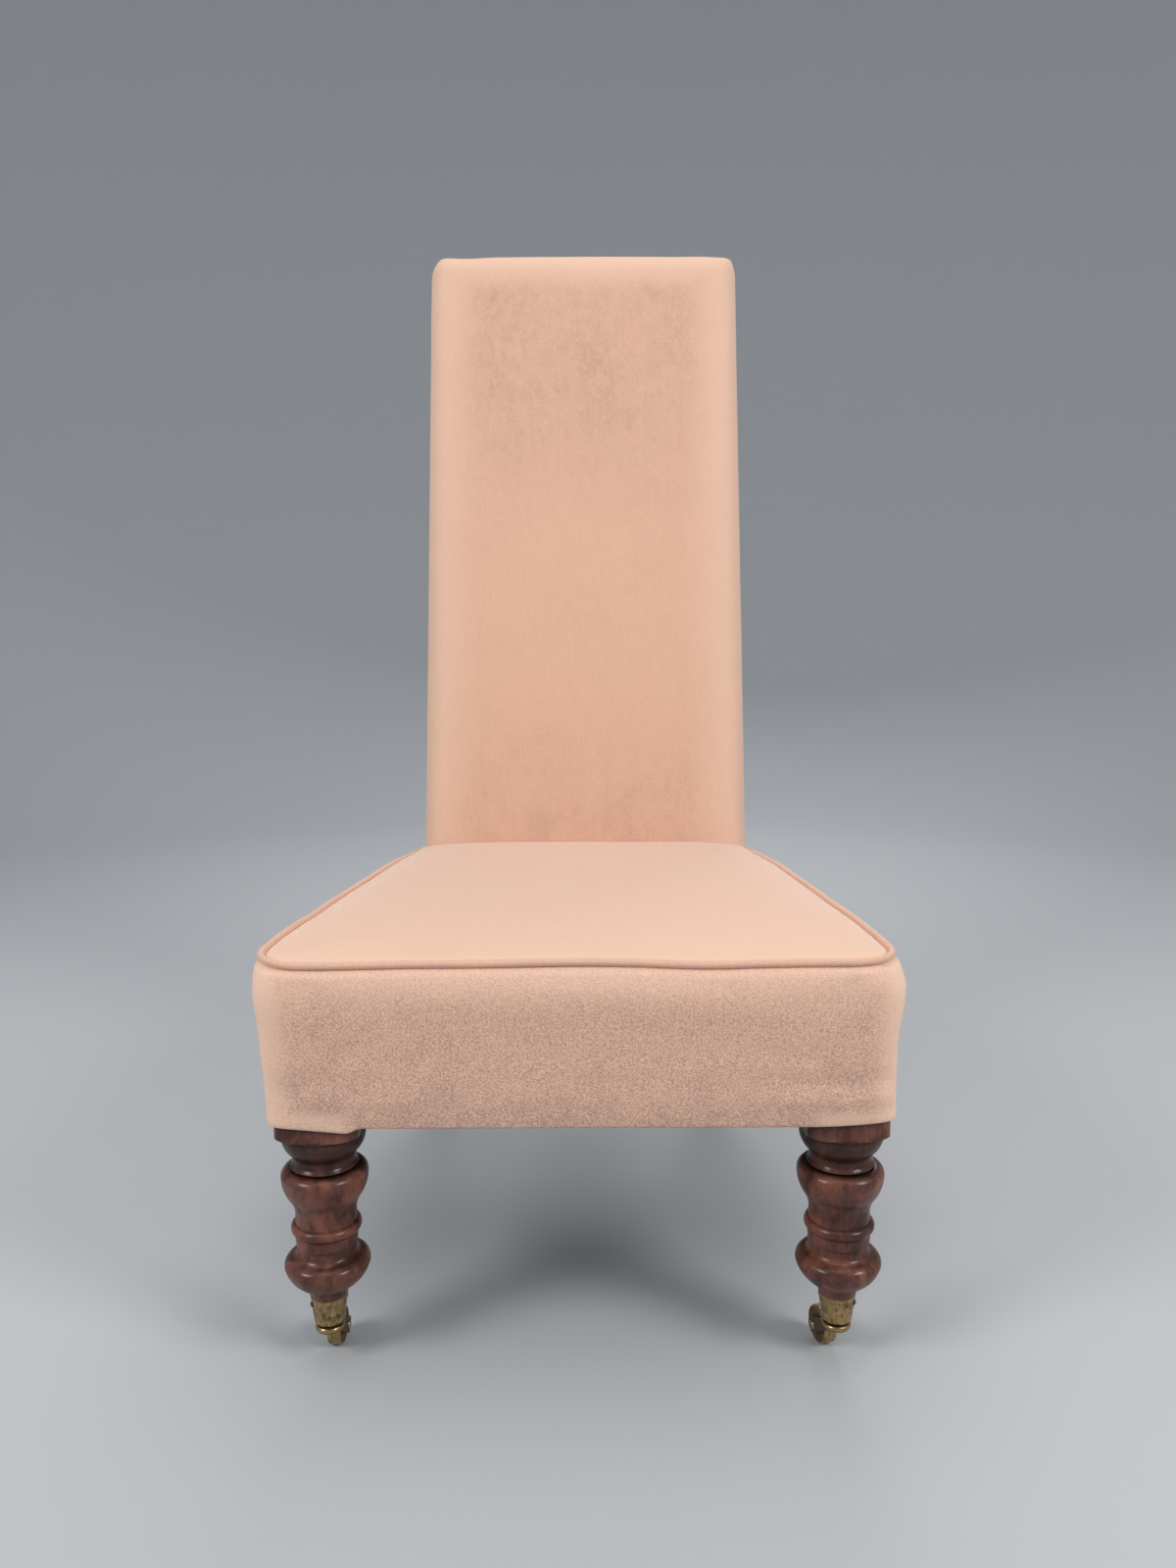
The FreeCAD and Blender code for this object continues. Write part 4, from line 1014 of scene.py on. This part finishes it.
seatBoxing = dict(
    high=-0.0065, low=-0.1335,  # from the piping's height
    rows=32, step=0.0046,
    outside=0.1,  # where the search for the CAD strip's surface starts
    evening=12,  # passes that even out the strip's profile
    tuckIn=0.0005, tuckHeight=-0.0022,  # upper edge, inside the piping's centre line
    start=0.0022,  # how far the middle lies in before the stuffing swells it
    hemRadius=0.0024, hemRows=4, hemReturn=0.006,
    hemFrom=0.7,  # share of the height where the hem's drop begins
    blockOuter=0.2485, blockInner=0.1800, blockRear=-0.25, stepWidth=0.0055,
    leftDrop=0.005, leftFade=1.25,  # cloth pulled down over the left leg block
    rightLift=0.0045,  # and up round the right one
    cornerSwell=0.0025, cornerHeight=1.6,
    rearSetback=0.004,
    rearTurn=[(0.0014, 0.0004), (0.0024, 0.0022), (0.0021, 0.018)],  # rearwards and inwards
    unevenness=0.0010, lumps=((0.10, 2.3), (0.045, 6.1), 0.6),
    least=-0.0006,  # how far the swelled cloth may lie inside the drawn strip
    leftFull=[(-0.134, -0.0012), (-0.08, -0.0008), (-0.03, 0.0006), (0.0, 0.0)],  # further out, by height
    rightFull=[(-0.134, -0.0006), (-0.06, 0.0), (-0.025, 0.0045), (0.0, 0.0)],
    fullSides=(0.20, 0.245), fullDepth=(-0.2, 0.1), fullLoss=0.7,
    frontBand=0.012, dentHeight=-0.097,
    dents=[  # depth, share at the left, span in X where it grows, middle and width in height
        (-0.0011, 0.2, (0.10, 0.18), 0.0, 0.0075),
        (0.0008, 0.1, (0.14, 0.20), -0.015, 0.0070),
        (-0.0002, 1.0, (0.0, 1.0), -0.022, 0.0035),
    ],
    hollow=(-0.0012, (-0.229, 0.018), (-0.009, 0.010)),  # depth, middle and width in X and in height
    pressure=0.6, cap=0.004,
)


def boxingSpot(plan, height):
    # The strip's rear ends lean with the back.
    share = linear(plan.y, chairForm["frontY"] + chairForm["corner"], chairForm["rearY"])
    lean = height * rakeSin / rakeCos - seatBoxing["rearSetback"]
    return Vector((plan.x, plan.y + share * lean, chairForm["seatHeight"] + height))


def hemDrop(x, y):
    form = seatBoxing
    if y > form["blockRear"]:
        return 0.0
    inner, across = form["blockInner"], linear(abs(x), form["blockInner"], form["blockOuter"])
    if x < 0:
        step = smooth(-x, inner, inner + form["stepWidth"])
        return form["leftDrop"] * step * (1 - form["leftFade"] * across)
    return -form["rightLift"] * across ** 2


def boxingDents(x, height):
    # Hollows and folds where the stuffing stops at the rail, seen from the front.
    below = height - seatBoxing["dentHeight"]
    depth, (middle, wide), (low, high) = seatBoxing["hollow"]
    total = depth * bell(x - middle, wide) * bell(below - low, high)
    for depth, least, grows, middle, wide in seatBoxing["dents"]:
        total += depth * between(least, 1, smooth(x, *grows)) * bell(below - middle, wide)
    return total


def boxingReach(spots, sides):
    # How far the CAD strip's surface stands out from each spot, evened out down the strip.
    form, mesh = seatBoxing, frame["nodes"]["seat_boxing"].data
    tree = BVHTree.FromPolygons([v.co for v in mesh.vertices], [tuple(p.vertices) for p in mesh.polygons])
    reach = []
    for row in spots:
        hits = [tree.ray_cast(spot + side * form["outside"], -side)[0] for spot, side in zip(row, sides)]
        reach.append([(hit - spot).dot(side) if hit else 0.0 for hit, spot, side in zip(hits, row, sides)])
    for number in range(form["evening"]):
        threes = zip(reach, reach[1:], reach[2:])
        middle = [[(a + 2 * b + c) / 4 for a, b, c in zip(*rows)] for rows in threes]
        reach = [reach[0]] + middle + [reach[-1]]
    return reach


def boxingGrid(line, sides):
    # Rows of points from the piping to the hem's return, and the strip's drawn points.
    form = seatBoxing
    plans, shares = [plan for plan, out in line], spaced(0, 1, form["rows"] - 1)
    high, tuck = form["tuckHeight"], form["tuckIn"]
    grid = [[boxingSpot(plan, high) - side * tuck for plan, side in zip(plans, sides)]]
    heights = [between(form["high"], form["low"], share) for share in shares]
    spots = [[boxingSpot(plan, height) for plan in plans] for height in heights]
    drawn = []
    for share, rowSpots, rowReach in zip(shares, spots, boxingReach(spots, sides)):
        row, arch = [], sin(pi * share)
        for spot, far, side in zip(rowSpots, rowReach, sides):
            point = spot + side * far
            turned = 2 * abs(side.x * side.y)  # 1 at the middle of a corner
            push = form["cornerSwell"] * turned * sin(pi * min(1.0, form["cornerHeight"] * share))
            push += form["unevenness"] * arch * lumps(point, *form["lumps"])
            push -= form["start"] * arch
            drop = hemDrop(point.x, point.y) * smooth(share, form["hemFrom"], 1.0)
            row.append(point + side * push - upward * drop)
            drawn.append(point)
        grid.append(row)
    hem, radius = grid[-1], form["hemRadius"]
    for turn in spaced(0, pi, form["hemRows"])[1:]:  # rolled under and back up inside
        inward, down = radius * (1 - cos(turn)), radius * sin(turn)
        grid.append([point - side * inward - upward * down for point, side in zip(hem, sides)])
    grid.append([point + upward * form["hemReturn"] for point in grid[-1]])
    for row in grid:  # round the corner to the rear
        first, last, turns = row[0], row[-1], form["rearTurn"]
        row[:0] = [first + rearward * back + Vector((inward, 0, 0)) for back, inward in reversed(turns)]
        row += [last + rearward * back - Vector((inward, 0, 0)) for back, inward in turns]
    return grid, drawn


def shapeBoxing(vertex):
    form, spot = seatBoxing, vertex.co
    height = spot.z - chairForm["seatHeight"]
    if spot.y < chairForm["frontY"] + form["frontBand"]:
        spot.y -= boxingDents(spot.x, height)
    full = onLine(form["leftFull" if spot.x < 0 else "rightFull"], height)
    full *= smooth(abs(spot.x), *form["fullSides"])
    spot.x += copysign(full * (1 - form["fullLoss"] * smooth(spot.y, *form["fullDepth"])), spot.x)
    vertex.co = settle(spot)


def makeSeatBoxing():
    form = seatBoxing
    line = seatLine(0.0, form["step"])
    sides = [Vector((out.x, out.y, 0)) for plan, out in line]
    grid, drawn = boxingGrid(line, sides)
    columns, ends = len(grid[0]), len(form["rearTurn"])
    faces = flipped(gridFaces(len(grid), columns))
    piece = chairPiece("seatBoxing", [point for row in grid for point in row], faces, "velvetBoxing")
    held = [r * columns + c for r in range(len(grid)) for c in range(columns)
            if r == 0 or r >= form["rows"] or c <= ends or c >= columns - 1 - ends]
    swell(piece, held, form)
    vertices = piece.data.vertices
    for number, point in enumerate(drawn):
        r, c = divmod(number, len(line))
        vertex, side = vertices[(r + 1) * columns + ends + c], sides[c]
        lack = form["least"] - (vertex.co - point).dot(side)
        if lack > 0:
            vertex.co += side * lack
    for vertex in vertices:
        shapeBoxing(vertex)
    refine(piece)
    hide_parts("seat_boxing")
    return piece


boxingPiece = makeSeatBoxing()
print("boxing made:", len(boxingPiece.data.vertices), "points")


# Piping: a covered cord sewn in between the top and the boxing

seatPiping = dict(
    radius=0.0033, sides=12, step=0.005,
    waver=0.0004, waverLump=(0.06, 8.8),
    thickness=0.06, thickLump=(0.015, 9.4),  # share by which the radius varies
    rearDive=0.0015, rearSpan=(0.12, 0.2),
)


def makeSeatPiping():
    form = seatPiping
    line, sides = seatLine(0.0, form["step"]), form["sides"]
    points = []
    for plan, out in line:
        spot = settle(boxingSpot(plan, 0.0))
        dive = form["rearDive"] * smooth(plan.y, *form["rearSpan"])
        spot.z += form["waver"] * lump(spot, *form["waverLump"]) - dive
        radius = form["radius"] * (1 + form["thickness"] * lump(spot, *form["thickLump"]))
        points += ring(spot, Vector((out.x, out.y, 0)), upward, radius, sides)
    ends = [tuple(range(sides)), tuple(reversed(range(len(points) - sides, len(points))))]
    faces = gridFaces(len(line), sides, closed=True) + ends
    piece = chairPiece("seatPiping", points, faces, "velvetPiping")
    refine(piece)
    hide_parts("seat_piping")


makeSeatPiping()
print("piping made")


# Bottom cloth: thin black cloth tacked under the rails, sagging a little between them

bottomCloth = dict(
    sag=0.007, sagWidth=0.06, tacked=0.03,  # width along the edges that doesn't sag
    lift=0.0006, thick=0.0008, step=0.011,
    puckers=0.0012, puckerLump=(0.035, 3.3),
    room=0.0006, legBand=0.02, rearBand=0.002,  # gap round the legs, and bands to measure in
)


def notchBox(name, height):
    # The part of a leg that passes through the cloth, in plan.
    form = bottomCloth
    near = [v.co for v in frame["nodes"][name].data.vertices if abs(v.co.z - height) < form["legBand"]]
    room = Vector((form["room"], form["room"], 0))
    low = Vector((min(p.x for p in near), min(p.y for p in near), 0)) - room
    high = Vector((max(p.x for p in near), max(p.y for p in near), 0)) + room
    return low, high


def cutNotch(build, low, high):
    for normal in (Vector((1, 0, 0)), Vector((0, 1, 0))):
        for corner in (low, high):
            parts = build.verts[:] + build.edges[:] + build.faces[:]
            bmesh.ops.bisect_plane(build, geom=parts, plane_co=corner, plane_no=normal)
    inner = []
    for face in build.faces:
        middle = face.calc_center_median()
        if low.x < middle.x < high.x and low.y < middle.y < high.y:
            inner.append(face)
    bmesh.ops.delete(build, geom=inner, context="FACES")


def makeBottomCloth():
    form = bottomCloth
    low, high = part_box("bottom_cloth")
    rows, columns = round((high.y - low.y) / form["step"]), round((high.x - low.x) / form["step"])
    drawn = frame["nodes"]["bottom_cloth"].data.vertices
    rearHalf = max(abs(v.co.x) for v in drawn if v.co.y > high.y - form["rearBand"])
    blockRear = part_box("front_leg_left")[1].y
    points = []
    for y in spaced(low.y, high.y, rows):
        half = between(high.x, rearHalf, linear(y, blockRear, high.y))
        for share in spaced(-1, 1, columns):
            x = half * share
            inside = max(0.0, min(half - abs(x), y - low.y, high.y - y) - form["tacked"])
            z = low.z + form["lift"] - form["sag"] * (1 - exp(-inside / form["sagWidth"]))
            z -= form["puckers"] * abs(lump(Vector((x, y, 0)), *form["puckerLump"]))
            points.append(Vector((x, y, z)))
    piece = chairPiece("bottomCloth", points, gridFaces(rows + 1, columns + 1), "blackCloth")
    build = bmesh.new()
    build.from_mesh(piece.data)
    for name in ("front_leg_left", "front_leg_right", "back_post_left", "back_post_right"):
        cutNotch(build, *notchBox(name, low.z))
    build.to_mesh(piece.data)
    build.free()
    thick = piece.modifiers.new("thickness", "SOLIDIFY")
    thick.thickness = form["thick"]
    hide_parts("bottom_cloth")


makeBottomCloth()
print("bottom cloth made")


# Plain pale floor and backdrop in one round sweep

studio = dict(
    radius=4.2, bend=1.6, bendSteps=12, wall=4.4, sides=96,
    floor={"Base Color": (0.46, 0.48, 0.50), "Roughness": 0.75, "Specular IOR Level": 0.2},
    world={"Color": (0.90, 0.94, 1.0), "Strength": 0.5},
    lamps={  # place, size, power and colour
        "right lamp": ((1.85, -1.5, 1.75), 1.0, 36.0, (1.0, 0.98, 0.95)),
        "left lamp": ((-1.85, -1.5, 1.75), 1.0, 33.0, (1.0, 0.98, 0.95)),
        "rear lamp": ((0.4, 2.5, 2.1), 2.0, 26.0, (1.0, 0.98, 0.96)),
        "overhead lamp": ((0.0, -0.4, 3.1), 2.4, 23.0, (1.0, 0.98, 0.96)),
    },
    aim=(0.0, 0.0, 0.45),
)


def makeFloorMaterial(values):
    # Clear from outside, so that the sweep never hides the chair.
    material, shader = newMaterial("pale floor")[:2]
    setInputs(shader, values)
    nodes, link = material.node_tree.nodes, material.node_tree.links.new
    choose = nodes.new("ShaderNodeMixShader")
    link(nodes.new("ShaderNodeNewGeometry").outputs["Backfacing"], choose.inputs[0])
    link(shader.outputs[0], choose.inputs[1])
    link(nodes.new("ShaderNodeBsdfTransparent").outputs[0], choose.inputs[2])
    link(choose.outputs[0], nodes["Material Output"].inputs["Surface"])
    return material


def addSweep(form):
    radius, bend, sides = form["radius"], form["bend"], form["sides"]
    profile = [(radius - bend, 0.0)]
    for turn in spaced(0, pi / 2, form["bendSteps"])[1:]:
        profile.append((radius - bend * (1 - sin(turn)), bend * (1 - cos(turn))))
    profile.append((radius, form["wall"]))
    points = [Vector()]
    for reach, z in profile:
        points += ring(upward * z, Vector((1, 0, 0)), Vector((0, 1, 0)), reach, sides)
    faces = [(0, 1 + k, 1 + (k + 1) % sides) for k in range(sides)]
    faces += flipped(gridFaces(len(profile), sides, closed=True, start=1))
    meshPiece("sweep", points, faces, makeFloorMaterial(form["floor"]))


def addLight(form):
    scene.world = bpy.data.worlds.new("studio")
    scene.world.use_nodes = True
    setInputs(scene.world.node_tree.nodes["Background"], form["world"])
    for name, (place, size, power, colour) in form["lamps"].items():
        data = bpy.data.lights.new(name, "AREA")
        data.shape, data.size = "DISK", size
        data.energy, data.color = power, colour
        light = bpy.data.objects.new(name, data)
        light.location = place
        light.rotation_euler = (Vector(form["aim"]) - light.location).to_track_quat("-Z", "Y").to_euler()
        scene.collection.objects.link(light)


addSweep(studio)
addLight(studio)
print("studio lit")
